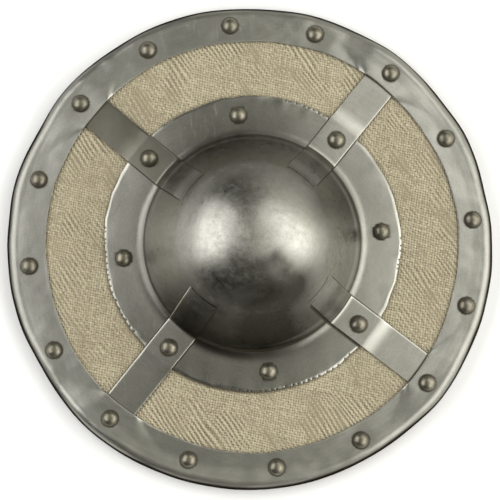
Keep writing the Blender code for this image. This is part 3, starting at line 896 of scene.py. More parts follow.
def mark_rim(piece, settings):
    """Tell the rim's steel where it gets painted shade, soil with painted shade, and wear with
    painted highlights.
    """
    x, y, z = mesh_points(piece.data).T
    from_axis, radius = np.hypot(x, y), np.hypot(x - 0.8 * settings.shift, y)
    degrees = np.degrees(np.arctan2(y, x))
    in_front = z > settings.roll_radius
    outer = ease(radius, 0.1445, 0.1505)
    level = (z - dish(from_axis)) / settings.roll_radius - 1.0
    # Painted shade: the roll's outer side is darkened, and the band's left side is dulled
    edge = ease(from_axis, 0.1525, 0.1545) * (1.0 - ease(level, 0.60, 0.87))
    edge = edge * (1.0 - 0.45 * ease(-level, -0.1, 0.6))
    dull = 0.34 * lobe(degrees, 175.0, 60.0) * in_front * (1.0 - 0.75 * outer)
    set_attribute(piece, "patina_and_shade", np.maximum(edge, dull))
    inner_edge = 1.0 - ease(radius, settings.inner_radius + 0.0002, settings.inner_radius + 0.0011)
    _, side = strap_places(x, y)
    # Painted shade along the inner edge where the rim lies over a strap
    on_strap = 0.35 * inner_edge * (1.0 - ease(side, 0.010, 0.014))
    set_attribute(piece, "dirt_and_shade", np.maximum(soil_and_shade_round(x, y, RIM_RIVET_PLACES), on_strap))
    # Painted highlights on the lower side and the top; the inner cut edge gets wear and a painted
    # highlight
    brightened = 0.65 * lobe(degrees, 252.0, 52.0) * (0.25 + 0.75 * outer)
    brightened = (brightened + 0.25 * lobe(degrees, 95.0, 45.0)) * in_front
    set_attribute(piece, "wear_and_highlight", np.maximum(0.45 * inner_edge, brightened))


def make_rim(settings):
    """The hammered rim, rolled over at its outer edge and turned in behind the board."""
    grid = hammer_rim(rim_grid(settings), settings)
    points, faces = plate(grid, SHEET, True)
    brushing = round_brushing((0.0, 0.0, 0.0), 0.00045, 22.0)
    finish = steel_finish(
        "rim_steel", (settings.colour, settings.patina_and_shade, settings.soil_and_shade), settings.roughness,
        brushing, (2.1, 1.2), mottle=0.1, anisotropic=0.5, specular_tint=(0.25, 0.25, 0.25, 1.0),
    )
    piece = add_piece("rim_hammered", points, faces, finish)
    mark_rim(piece, settings)
    stand_for(piece, "hammered_steel", "rim")


# Boss


FLANGE_RADII = (0.0925, 0.0890, 0.0855, 0.0825, 0.0800, 0.0780)
BEVEL_SHARES = np.array((0.0, 0.22, 0.5, 0.8, 1.0, 1.3, 1.7))
# Direction and half width, in degrees, of the side where the foot gets its deepest painted shade
SHADE_SIDE = (236.0, 80.0)
# How far outside the top of the foot the polish ends, and the straps are folded
POLISH_MARGIN = 0.0022
FOLD_MARGIN = 0.0033


def snipped_edge(turn, radius, seed):
    """Distance of a hand-cut edge from the middle: short straight cuts with small steps."""
    chance = np.random.default_rng(seed)
    corners = [0.0]
    while corners[-1] < math.tau - 0.09:
        corners.append(corners[-1] + chance.uniform(0.052, 0.125))
    corners = np.array([*corners[:-1], math.tau])
    reach = radius + chance.uniform(-0.0005, 0.0005, len(corners))
    reach[-1] = reach[0]
    cut = np.clip(np.searchsorted(corners, turn, side="right") - 1, 0, len(corners) - 2)
    a, b = corners[cut], corners[cut + 1]
    ra, rb = reach[cut], reach[cut + 1]
    return ra * rb * np.sin(b - a) / (ra * np.sin(turn - a) + rb * np.sin(b - turn))


SHEARED_STRETCHES = (
    # first and last direction in degrees, deepest notch
    (50.0, 72.0, 0.0013),
    (168.0, 212.0, 0.0008),
    (256.0, 306.0, 0.0010),
    (344.0, 358.0, 0.0008),
)


def shear_notches():
    """Depth of the small notches that the shears left along some stretches of the edge."""
    chance = np.random.default_rng(23)
    depth = np.zeros(ROUND_STEPS)
    for first, last, deepest in SHEARED_STRETCHES:
        place = first
        while place < last:
            depth[int(place / 360.0 * ROUND_STEPS)] = deepest * chance.uniform(0.5, 1.0)
            place += chance.choice((1.9, 2.6, 3.4))
    return depth


def boss_profile(settings):
    """Radii and heights inside the bevel: the flange, the foot's fillet, the cone and the cap."""
    slope, fillet, cap = settings.cone_slope, settings.fillet, settings.cap_radius
    slopes = np.linspace(0.0, slope, 11)
    fillet_radii = settings.foot_radius + fillet * math.sin(slope) - fillet * np.sin(slopes)
    fillet_heights = PLATE_TOP + fillet * (1.0 - np.cos(slopes))
    cone_radii = np.linspace(fillet_radii[-1], cap * math.sin(settings.cap_slope), 16)[1:]
    cone_heights = fillet_heights[-1] + (fillet_radii[-1] - cone_radii) * math.tan(slope)
    apex = cone_heights[-1] + cap * (1.0 - math.cos(settings.cap_slope))
    slopes = np.linspace(settings.cap_slope, 0.0, 29)[1:]
    radii = [*FLANGE_RADII, *fillet_radii, *cone_radii, *(cap * np.sin(slopes))]
    heights = [*([PLATE_TOP] * len(FLANGE_RADII)), *fillet_heights, *cone_heights]
    return np.array(radii), np.array([*heights, *(apex - cap * (1.0 - np.cos(slopes)))])


def boss_grid(settings):
    """The boss's upper surface from the flange's edge to the pole, and how far its bevel falls."""
    turn = np.linspace(0.0, math.tau, ROUND_STEPS, endpoint=False)
    edge = snipped_edge(turn, settings.flange_radius, 21)
    edge = edge + 0.0003 * np.sin(5 * turn + 1.0) + 0.00022 * np.sin(11 * turn + 2.0)
    width = 0.80 + 0.35 * np.sin(3.0 * turn + 0.4) * np.sin(13.0 * turn)
    share = BEVEL_SHARES[:, None]
    bevel = edge - share * settings.bevel * width - shear_notches() * (1.0 - share / share[-1])
    radii, heights = boss_profile(settings)
    radius = np.concatenate([bevel, np.repeat(radii[:, None], ROUND_STEPS, axis=1)])
    drop = np.zeros_like(radius)
    drop[:len(bevel)] = settings.bevel_drop * (1.0 - ease(share, -0.35, 1.15))
    heights = np.array([*([PLATE_TOP] * len(bevel)), *heights])
    return spin_grid(radius, heights[:, None] - drop), drop


def planish_boss(grid, settings):
    """Set the boss on the dished board, wave its steel, and dimple it round the rivets."""
    radius = np.hypot(grid[..., 0], grid[..., 1])
    x, y = grid[..., 0] + BOSS_SHIFT[0], grid[..., 1] + BOSS_SHIFT[1]
    rise = dish(np.maximum(np.hypot(x, y), settings.foot_radius))
    on_flange = ease(radius, 0.0725, 0.078)
    waves = ripple(x, y, 0.034, 31) + 0.5 * ripple(x, y, 0.013, 32)
    waves = settings.hammering * ease(radius, 0.0, 0.02) * waves * (1.0 - on_flange)
    waves = waves + on_flange * 0.00006 * ripple(x, y, 0.020, 33)
    edge_waves = 0.00013 * ease(radius, 0.088, 0.096) * ripple(x, y, 0.012, 34)
    dimple = 0.00016 * dimples(x, y, BOSS_RIVET_PLACES) * on_flange
    height = grid[..., 2] + rise + waves + edge_waves - dimple
    height[-1] = height[-1].mean()
    return np.stack([x, y, height], axis=-1)


def dome_finish(settings):
    """The dome's polished steel, which the straps' ends on its cone share."""
    if "dome_steel" in bpy.data.materials:
        return bpy.data.materials["dome_steel"]
    swirls = round_brushing((*BOSS_SHIFT, 0.0), 0.0011, 9.0)
    return steel_finish(
        "dome_steel", (settings.polished, settings.patina_and_shade, settings.soil_and_shade),
        settings.roughness + 0.05, swirls, (2.3, 1.7), mottle=0.45, gloss=0.07, anisotropic=0.25,
    )


def dome_patina_and_shade(settings, x, y):
    """How much patina and painted shade the dome gets: little at the sides, where its highlights
    fall, and much round the top and over the lower half.
    """
    radius, turn = about_boss(x, y)
    upper = (y - BOSS_SHIFT[1]) / np.maximum(radius, 0.001)
    lower = np.cos(np.radians(turn_between(turn, 255.0)))
    low_right = lobe(turn, 306.0, 38.0) * (1.0 - ease(radius, 0.040, 0.056))
    beside = 0.25 * ease(radius, 0.034, 0.050) + 0.20 * ease(radius, 0.050, 0.066)
    beside = beside * (1.0 - 0.85 * lobe(turn, 165.0, 50.0))
    beside = beside + 0.50 * lobe(turn, 24.0, 40.0) * ease(radius, 0.026, 0.046)
    beside = beside + 0.95 * low_right * ease(radius, 0.013, 0.020)
    below = 0.50 * ease(radius, 0.011, 0.021) + 0.16 * ease(radius, 0.026, 0.036)
    below = below + 0.26 * ease(radius, 0.036, 0.046)
    below_crown = 0.25 * lobe(turn, 274.0, 26.0) + 0.45 * low_right
    below = below + below_crown * ease(radius, 0.013, 0.021)
    above = 0.25 * ease(radius, 0.012, 0.026) + 0.36 * ease(radius, 0.030, 0.046)
    above = above + 0.18 * lobe(turn, 100.0, 45.0) * ease(radius, 0.004, 0.013)
    darkened = beside + (above - beside) * ease(upper, 0.1, 0.8)
    darkened = darkened + (below - darkened) * ease(lower, 0.40, 0.90)
    # A painted highlight just above the foot, except on its shaded side
    brightened = hump(radius - settings.foot_radius + 0.0012, 0.0008)
    return darkened * (1.0 - 0.6 * (1.0 - lobe(turn, *SHADE_SIDE)) * brightened)


def boss_soil_and_shade(mesh, settings, edge):
    """Soil with painted shade round rivets, and painted shade in the foot's crease, beside and
    under the straps and in the notches of the cut edge.
    """
    x, y, _ = mesh_points(mesh).T
    radius, turn = about_boss(x, y)
    # Painted shade in the crease at the foot, deepest on the shaded side
    in_foot = hump(radius - settings.foot_radius - 0.0011, 0.0009)
    in_foot = (0.75 + 0.25 * lobe(turn, *SHADE_SIDE)) * in_foot
    soil_and_shade = np.maximum(soil_and_shade_round(x, y, BOSS_RIVET_PLACES), in_foot)
    out, side = strap_places(x, y)
    own = own_strap(turn)
    facing_up = mesh_points(mesh, "normal")[:, 2] > 0.0
    covered = ease(out - np.array(STRAP_ENDS)[own], 0.0002, 0.0012) * facing_up
    # Painted shadow beside each strap's edges, and under the strap
    soil_and_shade = np.maximum(soil_and_shade, (1.0 - ease(side, 0.0111, 0.0124)) * covered)
    # A painted shadow along the lower side of the lower right strap
    along, across = heading(STRAP_ANGLES[LOWER_RIGHT])
    beyond = (x - BOSS_SHIFT[0]) * across - (y - BOSS_SHIFT[1]) * along - 0.5 * STRAP_WIDTH
    strap_shadow = hump(beyond - 0.0011, 0.0010) * covered * (own == LOWER_RIGHT)
    soil_and_shade = np.maximum(soil_and_shade, strap_shadow)
    # Painted shade in the notches of the cut edge
    column = np.round(turn / 360.0 * ROUND_STEPS).astype(int) % ROUND_STEPS
    notched = shear_notches()[column] > 0.0
    return np.maximum(soil_and_shade, notched * ease(radius - edge[column], -0.0007, -0.0003))


def mark_boss(piece, settings, edge):
    """Tell the boss's steel where it gets patina with painted shade, soil with painted shade, and
    painted highlights, given its cut edge.
    """
    x, y, _ = mesh_points(piece.data).T
    radius, turn = about_boss(x, y)
    # Painted shade round the foot, deepest on the shaded side, and on the flange's lower left; on
    # the dome, patina and painted shade
    shade_side = lobe(turn, *SHADE_SIDE)
    beside = 0.25 * (1.0 - shade_side) * (1.0 - lobe(turn, -5.0, 75.0))
    on_foot = 0.95 * shade_side * (1.0 - ease(radius, 0.0745, 0.0800)) + beside
    on_foot = on_foot * ease(radius, 0.0705, 0.0725) * (1.0 - ease(radius, 0.0750, 0.0900))
    lower_left_shade = 0.24 * lobe(turn, 205.0, 65.0) * ease(radius, 0.080, 0.087)
    on_dome = dome_patina_and_shade(settings, x, y) * (1.0 - ease(radius, 0.0712, 0.0728))
    set_attribute(piece, "patina_and_shade", np.maximum(on_dome, on_foot + lower_left_shade))
    set_attribute(piece, "dirt_and_shade", boss_soil_and_shade(piece.data, settings, edge))
    # Painted highlights along the bevel, except on its unlit sides, and on the flange beside the
    # foot on the right
    unlit = 0.8 * lobe(turn, 243.0, 36.0) + 0.5 * lobe(turn, 108.0, 36.0)
    bright_edge = 0.5 * ease(radius, 0.0952, 0.0966) * (1.0 - unlit)
    bright_side = 0.42 * lobe(turn, -20.0, 42.0) * ease(radius, 0.0755, 0.0775)
    set_attribute(piece, "wear_and_highlight", np.maximum(bright_edge, bright_side))


def make_boss(settings):
    """The boss: a polished dome in one piece with its snipped flange."""
    grid, drop = boss_grid(settings)
    points, faces = plate(planish_boss(grid, settings), SHEET - 0.8 * drop, True, bulge=0.0001)
    brushing = round_brushing((*BOSS_SHIFT, 0.0), 0.0005, 22.0)
    finish = steel_finish(
        "flange_steel", (settings.colour, settings.patina_and_shade, settings.soil_and_shade), settings.roughness,
        brushing, (2.3, 1.1, 0.1), mottle=0.1, anisotropic=0.68,
    )
    piece = add_piece("boss_polished", points, faces, finish)
    x, y, _ = mesh_points(piece.data).T
    radius, _ = about_boss(x, y)
    polish_inside(piece, radius, settings.foot_radius + POLISH_MARGIN, dome_finish(settings))
    mark_boss(piece, settings, np.hypot(grid[0, :, 0], grid[0, :, 1]))
    stand_for(piece, "polished_steel", "boss")


# Straps


def strap_line(settings, boss, end):
    """Rows of a strap's upper surface: distance from the boss's middle, height on the flange."""
    slope, bend = boss.cone_slope, settings.bend
    corner = boss.foot_radius + boss.fillet * (math.sin(slope) - math.tan(0.5 * slope))
    crease = corner + LAP * math.tan(0.5 * slope) + 0.0004
    middle = crease + bend * math.tan(0.5 * slope)
    cone = np.linspace(end + 0.0008, middle - bend * math.sin(slope), 12)[:-1]
    cone = np.array([end, end + 0.00012, end + 0.00035, *cone])
    slopes = np.linspace(slope, 0.0, 13)
    flat = np.linspace(middle, settings.outer_radius - 0.002, 90)[1:]
    radii = [*cone, *(middle - bend * np.sin(slopes)), *flat]
    heights = [*((crease - cone) * math.tan(slope)), *(bend * (1.0 - np.cos(slopes)))]
    return np.array(radii), np.array([*heights, *np.zeros_like(flat)])


def strap_grid(settings, boss, number):
    """A strap's upper surface, along it in rows and across it in columns, and its thickness."""
    end, half = STRAP_ENDS[number], 0.5 * STRAP_WIDTH
    out, rise = strap_line(settings, boss, end)
    straight, side = np.meshgrid(out, half * edged_row(0.975, 0.93, 0.86, 15), indexing="ij")
    # Round the boss on its cone and foot, and straight across the strap beyond them
    arc = np.sqrt(straight ** 2 - side ** 2) - straight
    forward = straight + arc * (1.0 - ease(straight, boss.foot_radius + 0.004, 0.096))
    rounded = np.where(side < 0.0, *STRAP_EDGES[number])
    edge_drop = 0.00024 * rounded * ease(np.abs(side), 0.93 * half, half) ** 2
    # Hammered thin at the end on the cone
    thinned = 1.0 - ease(straight, end, end + 0.009)
    # Bent sharply down off the flange's edge, then gently out on to the linen
    fallen = (forward - settings.step_top) / (settings.step_foot - settings.step_top)
    fallen = np.clip(fallen, 0.0, 1.0)
    down = 1.0 - (1.0 - 1.12 * fallen ** 2 / (fallen + 0.12)) ** 2
    height = PLATE_TOP + LAP * (1.0 - down) + rise[:, None] - edge_drop - 0.0029 * thinned
    height = height + 0.00010 * ripple(forward, side, 0.03, 41 + number)
    along, across = heading(STRAP_ANGLES[number])
    x = BOSS_SHIFT[0] + forward * along - side * across
    y = BOSS_SHIFT[1] + forward * across + side * along
    height = height + dish(np.maximum(np.hypot(x, y), boss.foot_radius))
    return np.stack([x, y, height], axis=-1), SHEET - 0.0010 * thinned


def mark_straps(piece, boss):
    """Tell the straps' steel how it was brushed, and where it gets painted shade, soil with painted
    shade, and painted highlights.
    """
    x, y, _ = mesh_points(piece.data).T
    reach, turn = about_boss(x, y)
    fold = boss.foot_radius + FOLD_MARGIN
    polish_inside(piece, reach, fold - 0.0006, dome_finish(boss))
    out, side = strap_places(x, y)
    own = own_strap(turn)
    way = np.sign(turn_between(turn, np.array(STRAP_ANGLES)[own]))
    on_cone = np.minimum(reach - fold, 0.0)
    longer = 1.0 / math.cos(boss.cone_slope) - 1.0
    set_attribute(piece, "lengthwise", out + own + on_cone * longer)
    set_attribute(piece, "crosswise", side * way)
    # Painted shade on each strap, most on the upper left one, and on the cone the dome's patina and
    # painted shade
    dark = np.array(STRAP_SHADE)[own] * (0.8 + 0.2 * ease(out, 0.094, 0.106))
    # A painted highlight along one edge of the lower left strap on the cone, where no shade is
    # painted
    lit = (own == LOWER_LEFT) * (way < 0.0) * (on_cone < 0.0) * ease(side, 0.0100, 0.0107)
    on_dome = (0.08 + dome_patina_and_shade(boss, x, y)) * (1.0 - lit)
    set_attribute(piece, "patina_and_shade", np.where(on_cone < 0.0, on_dome, dark))
    # Painted shade where the strap goes under the rim and in its fold, with soil and painted shade
    # round the rivets
    under_rim = 0.85 * ease(np.hypot(x - 0.0013, y), 0.1343, 0.1358)
    soil_and_shade = soil_and_shade_round(x, y, [*BOSS_RIVET_PLACES, *RIM_RIVET_PLACES])
    soil_and_shade = np.maximum(np.maximum(soil_and_shade, under_rim), hump(reach - fold, 0.0004))
    set_attribute(piece, "dirt_and_shade", soil_and_shade)
    # Painted highlights on the bends and along the long edges
    shine = np.array(STRAP_SHINE)[own]
    at_step, at_fold = bell(out - 0.1025, 0.0065), bell(reach - fold - 0.0016, 0.0016)
    shine = shine * np.maximum(at_step, 0.8 * at_fold)
    edges = (0.3 + 0.7 * lit) * ease(side, 0.0104, 0.0109)
    set_attribute(piece, "wear_and_highlight", np.maximum(shine, edges))


def make_straps(settings, boss):
    """Four straps, from the boss's cone over the flange and the linen to under the rim."""
    finish = steel_finish(
        "strap_steel", (settings.colour, settings.patina_and_shade, settings.soil_and_shade), settings.roughness,
        strap_brushing, (2.0, 2.4, 0.8), mottle=0.15, anisotropic=0.75,
    )
    points, faces, count = [], [], 0
    for number in range(len(STRAP_ANGLES)):
        grid, thickness = strap_grid(settings, boss, number)
        own_points, own_faces = plate(grid, thickness, False, bulge=0.00012)
        points.append(own_points)
        faces.append(own_faces + count)
        count += len(own_points)
    points, faces = np.concatenate(points), np.concatenate(faces)
    piece = add_piece("straps_brushed", points, faces, finish, sharp=50.0)
    mark_straps(piece, boss)
    stand_for(piece, "strap_steel", "strap_1", "strap_2", "strap_3", "strap_4")


# Linen


THREAD_TURNS = (-13.0, 71.0)
LINEN_WRINKLES = (
    # x and y, direction in degrees, half length and half width, share of the height
    (-0.018, 0.118, 118.0, 0.022, 0.00144, 1.0),
    (-0.004, 0.120, 120.0, 0.020, 0.00132, 0.9),
    (0.014, 0.121, 122.0, 0.018, 0.00132, 0.8),
    (-0.052, 0.104, 112.0, 0.020, 0.00168, 0.8),
    (-0.066, 0.096, 108.0, 0.016, 0.00144, 0.6),
    (0.038, 0.112, 128.0, 0.016, 0.00144, 0.6),
    (0.118, -0.022, 60.0, 0.016, 0.00156, 0.7),
    (0.120, -0.042, 52.0, 0.014, 0.00144, 0.6),
    (-0.070, -0.096, 135.0, 0.018, 0.00156, 0.9),
    (-0.054, -0.108, 128.0, 0.016, 0.00144, 0.7),
    (0.060, -0.100, 60.0, 0.016, 0.00156, 0.6),
    (-0.118, 0.014, 80.0, 0.018, 0.0018, 0.5),
)


def linen_relief(x, y, column, row, settings):
    """Height of the crossing threads and the wrinkles, pressed flat under the steel."""
    chance = np.random.default_rng(55)
    warp_weight = chance.uniform(0.6, 1.3, column.shape[1])[None, :]
    weft_weight = chance.uniform(0.6, 1.3, row.shape[0])[:, None]
    crown = 0.5 * (np.cos(math.pi * column) * warp_weight + np.cos(math.pi * row) * weft_weight)
    relief = 0.5 * settings.relief * crown
    for at_x, at_y, way, half_length, half_width, share in LINEN_WRINKLES:
        along, across = heading(way)
        dx, dy = x - at_x, y - at_y
        lengthwise = (dx * along + dy * across) / half_length
        crosswise = (dx * across - dy * along) / half_width
        relief = relief + settings.wrinkle * share * np.exp(-(lengthwise ** 2) - crosswise ** 2)
    relief = relief + 0.00004 * ripple(x, y, 0.016, 56)
    radius = np.hypot(x, y)
    _, side = strap_places(x, y)
    pressed = np.maximum(1.0 - ease(side, 0.0112, 0.0150), 1.0 - ease(radius, 0.0985, 0.1010))
    pressed = np.maximum(pressed, ease(radius, 0.1325, 0.1360))
    return np.minimum(relief, 0.0009) * (1.0 - pressed) - 0.00008 * pressed


def linen_sheet(settings):
    """Woven ring of cloth: its points, faces, and each point's place counted in threads."""
    step = 0.5 * settings.pitch
    count = int(LINEN_REACH / step)
    line = np.arange(-count, count + 1)
    column, row = np.meshgrid(line, line, indexing="xy")
    # The threads lie askew: they were pulled a little out of square when the cloth was nailed on
    unskew = np.linalg.inv([heading(degrees) for degrees in THREAD_TURNS]) * step
    x = unskew[0, 0] * column + unskew[0, 1] * row
    y = unskew[1, 0] * column + unskew[1, 1] * row
    shift_x = settings.wave * ripple(x, y, 0.070, 51, 8) + 0.00010 * ripple(x, y, 0.012, 52)
    shift_y = settings.wave * ripple(x, y, 0.070, 53, 8) + 0.00010 * ripple(x, y, 0.012, 54)
    x, y = x + shift_x, y + shift_y
    radius = np.hypot(x, y)
    height = LINEN_TOP + linen_relief(x, y, column, row, settings) + dish(radius)
    inside = (radius > 0.0945) & (radius < 0.1385)
    keep = inside[:-1, :-1] & inside[1:, :-1] & inside[1:, 1:] & inside[:-1, 1:]
    index = np.arange(column.size).reshape(column.shape)
    corners = (index[:-1, :-1], index[:-1, 1:], index[1:, 1:], index[1:, :-1])
    faces = np.stack([corner[keep] for corner in corners], axis=-1)
    used = np.unique(faces)
    renumber = np.full(column.size, -1)
    renumber[used] = np.arange(len(used))
    points = np.stack([x, y, height], axis=-1).reshape(-1, 3)[used]
    threads = 0.5 * np.stack([column, row], axis=-1).reshape(-1, 2)[used]
    return points, renumber[faces], threads


def hidden_hems(points, faces, threads):
    """Carry the cloth in under the boss to the hand hole, and out under the rim."""
    edges = np.concatenate([faces[:, pair] for pair in ([0, 1], [1, 2], [2, 3], [3, 0])])
    keys = np.sort(edges, axis=1) @ np.array((len(points), 1))
    _, first, times = np.unique(keys, return_index=True, return_counts=True)
    border = edges[first[times == 1]]
    loose = np.unique(border)
    radius = np.hypot(points[loose, 0], points[loose, 1])
    reach = np.where(radius < 0.11, HAND_HOLE_RADIUS, LINEN_REACH)
    # Along the board to the hem, and then down through the cloth's thickness
    for level in (LINEN_TOP - 0.0001, LINEN_UNDER):
        scale = (reach / radius)[:, None]
        moved = np.concatenate([points[loose, :2] * scale, (level + dish(reach))[:, None]], axis=1)
        partner = np.full(len(points) + len(moved), -1)
        partner[loose] = len(points) + np.arange(len(moved))
        strip = np.stack([border[:, 1], border[:, 0], partner[border[:, 0]], partner[border[:, 1]]])
        faces = np.concatenate([faces, strip.T])
        threads = np.concatenate([threads, threads[loose] * scale])
        border = partner[border]
        points = np.concatenate([points, moved])
        loose = partner[loose]
        radius = reach
    return points, faces, threads


def mark_linen(piece, points):
    """Tell the linen where it gets painted shadow along the steel's edges, and where it was pulled
    into ridges.
    """
    x, y, _ = points.T
    radius = np.hypot(x, y)
    _, side = strap_places(x, y)
    # Painted shadow beside the straps, outside the flange's edge (deepest on the lower left) and
    # inside the rim's edge
    by_strap = 1.0 - ease(side, 0.0112, 0.0128)
    shade = lobe(np.degrees(np.arctan2(y, x)), 250.0, 80.0)
    by_boss = (1.0 - ease(about_boss(x, y)[0], 0.0975, 0.0997)) * (0.9 + 1.3 * shade)
    # The rim's opening lies a little to the right
    by_rim = ease(np.hypot(x - 0.00166, y), 0.1338, 0.1355)
    soil_and_shade = np.maximum(np.maximum(by_strap, by_boss), 0.4 * by_rim)
    set_attribute(piece, "dirt_and_shade", 0.55 * soil_and_shade * (radius > 0.09))
    drawn = (0.4 + 0.6 * ease(radius, 0.102, 0.124)) * (0.75 + 0.35 * ripple(x, y, 0.075, 57, 8))
    set_attribute(piece, "pulled", np.clip(drawn, 0.0, 1.0))


def make_linen(settings):
    """The woven linen, nailed on between the boss and the rim."""
    points, faces, threads = hidden_hems(*linen_sheet(settings))
    mesh = bpy.data.meshes.new("linen_woven")
    mesh.from_pydata(points.tolist(), [], faces.tolist())
    corner = np.zeros(len(mesh.loops), np.int32)
    mesh.loops.foreach_get("vertex_index", corner)
    uv = mesh.uv_layers.new(name="threads")
    uv.data.foreach_set("uv", threads[corner].astype(np.float32).ravel())
    finish = linen_finish(settings.light, settings.dark, settings.gap)
    piece = place_piece("linen_woven", mesh, finish, sharp=180.0)
    mark_linen(piece, points)
    stand_for(piece, "linen", "canvas")


# Rivets


def round_head(sides=28):
    """A round head of unit radius and height on the ground plane, with its foot marked."""
    work = bmesh.new()
    rows = []
    for slope in np.radians(np.linspace(0.0, 90.0, 11))[1:]:
        # Drawn in a little at the ground
        radius = math.sin(slope) * (1.0 if slope < 1.5 else 0.985)
        level = Matrix.Translation((0.0, 0.0, math.cos(slope)))
        row = bmesh.ops.create_circle(work, segments=sides, radius=radius, matrix=level)
        rows.append(row["verts"])
    crown = work.verts.new((0.0, 0.0, 1.0))
    for corner in range(sides):
        after = (corner + 1) % sides
        work.faces.new((rows[0][corner], rows[0][after], crown))
        for upper, lower in zip(rows, rows[1:]):
            work.faces.new((upper[corner], lower[corner], lower[after], upper[after]))
    work.faces.new(rows[-1])
    bmesh.ops.recalc_face_normals(work, faces=work.faces)
    mesh = bpy.data.meshes.new("round_head")
    work.to_mesh(mesh)
    work.free()
    head = bpy.data.objects.new("round_head", mesh)
    # Painted shade with soil over the head's lower part
    set_attribute(head, "dirt_and_shade", 1.0 - ease(mesh_points(mesh)[:, 2], 0.22, 0.72))
    return head


class Maker(NodeTree):
    """A Geometry Nodes tree with named inputs, run once on an object."""

    KINDS = {
        "geometry": "NodeSocketGeometry", "object": "NodeSocketObject",
        "float": "NodeSocketFloat", "int": "NodeSocketInt", "material": "NodeSocketMaterial",
    }

    def __init__(self, name, inputs):
        group = bpy.data.node_groups.new(name, "GeometryNodeTree")
        super().__init__(group)
        self.identifiers = {}
        for label, kind in inputs.items():
            made = group.interface.new_socket(label, in_out="INPUT", socket_type=self.KINDS[kind])
            self.identifiers[label] = made.identifier
        group.interface.new_socket("Geometry", in_out="OUTPUT", socket_type=self.KINDS["geometry"])
        self.start = group.nodes.new("NodeGroupInput")

    def given(self, label):
        """One of the tree's own inputs."""
        return Signal(self, self.start.outputs[label])

    def carried(self, name, kind="FLOAT"):
        """A value that each point carries."""
        return self.node("GeometryNodeInputNamedAttribute", {"data_type": kind}, {"Name": name})

    def chance(self, low, high, seed):
        """A random number for each point."""
        return self.node(
            "FunctionNodeRandomValue", {"data_type": "FLOAT"}, {2: low, 3: high, "Seed": seed},
            output=1,
        )

    def moved(self, geometry, **change):
        """A shape shifted or turned."""
        return self.node("GeometryNodeTransform", None, {"Geometry": geometry, **change})

    def copies(self, points, shape, rotation, scale):
        """A copy of a shape at each point."""
        return self.node(
            "GeometryNodeInstanceOnPoints", None,
            {"Points": points, "Instance": shape, "Rotation": rotation, "Scale": scale},
        )

    def end(self, geometry, material):
        """Close the tree: real geometry, with its material."""
        real = self.node("GeometryNodeRealizeInstances", None, {"Geometry": geometry})
        inputs = {"Geometry": real, "Material": material}
        painted = self.node("GeometryNodeSetMaterial", None, inputs)
        self.connect(painted, self.tree.nodes.new("NodeGroupOutput").inputs[0])

    def run(self, source, name, values, finish, sharp=40.0):
        """Run the tree on an object and keep the result as a plain mesh of its own."""
        bpy.context.scene.collection.objects.link(source)
        modifier = source.modifiers.new(name, "NODES")
        modifier.node_group = self.tree
        for label, value in values.items():
            modifier[self.identifiers[label]] = value
        bpy.context.view_layer.update()
        evaluated = source.evaluated_get(bpy.context.evaluated_depsgraph_get())
        mesh = bpy.data.meshes.new_from_object(evaluated)
        mesh.name = name
        source.modifiers.remove(modifier)
        bpy.data.objects.remove(source, do_unlink=True)
        if not mesh.polygons:
            raise RuntimeError(f"{name}: the node tree made nothing")
        return place_piece(name, mesh, finish, sharp)


def rivet_maker():
    """Tree that sets a head, a shank and a peened tail at each point."""
    maker = Maker(
        "Rivets",
        {
            "Points": "geometry", "Head": "object", "Head Radius": "float",
            "Head Height": "float", "Shank Radius": "float", "Tail Radius": "float",
            "Tail Height": "float", "Size Spread": "float", "Seed": "int", "Metal": "material",
        },
    )
    points, seed, spread = maker.given("Points"), maker.given("Seed"), maker.given("Size Spread")
    up = maker.carried("up", "FLOAT_VECTOR")
    hold = maker.carried("hold")
    stand = maker.node("FunctionNodeAlignRotationToVector", {"axis": "Z"}, {"Vector": up})
    turned = maker.node(
        "FunctionNodeAxisAngleToRotation", None,
        {"Axis": (0.0, 0.0, 1.0), "Angle": maker.chance(0.0, math.tau, seed)},
    )
    rotation = maker.node(
        "FunctionNodeRotateRotation", {"rotation_space": "LOCAL"},
        {"Rotation": stand, "Rotate By": turned},
    )
    size = maker.chance(1.0 - spread, 1.0 + spread, seed + 1.0)
    head = maker.node("GeometryNodeObjectInfo", None, {"Object": maker.given("Head")}, "Geometry")
    radius = maker.given("Head Radius") * size
    head_size = maker.join(radius, radius, maker.given("Head Height"))
    heads = maker.copies(points, head, rotation, head_size)
    rod = maker.node(
        "GeometryNodeMeshCylinder", None,
        {"Vertices": 16, "Radius": maker.given("Shank Radius"), "Depth": 1.0},
    )
    rod = maker.moved(rod, Translation=(0.0, 0.0, -0.5))
    shanks = maker.copies(points, rod, rotation, maker.join(1.0, 1.0, hold))
    down = maker.node(
        "ShaderNodeVectorMath", {"operation": "SCALE"}, {0: up, "Scale": 0.0 - hold}
    )
    ends = maker.node("GeometryNodeSetPosition", None, {"Geometry": points, "Offset": down})
    tail = maker.moved(head, Rotation=(math.pi, 0.0, 0.0))
    radius = maker.given("Tail Radius") * size
    tail_size = maker.join(radius, radius, maker.given("Tail Height"))
    tails = maker.copies(ends, tail, rotation, tail_size)
    joined = maker.node("GeometryNodeJoinGeometry")
    for part in (tails, shanks, heads):
        maker.connect(part, joined.socket.node.inputs[0])
    maker.end(joined, maker.given("Metal"))
    return maker


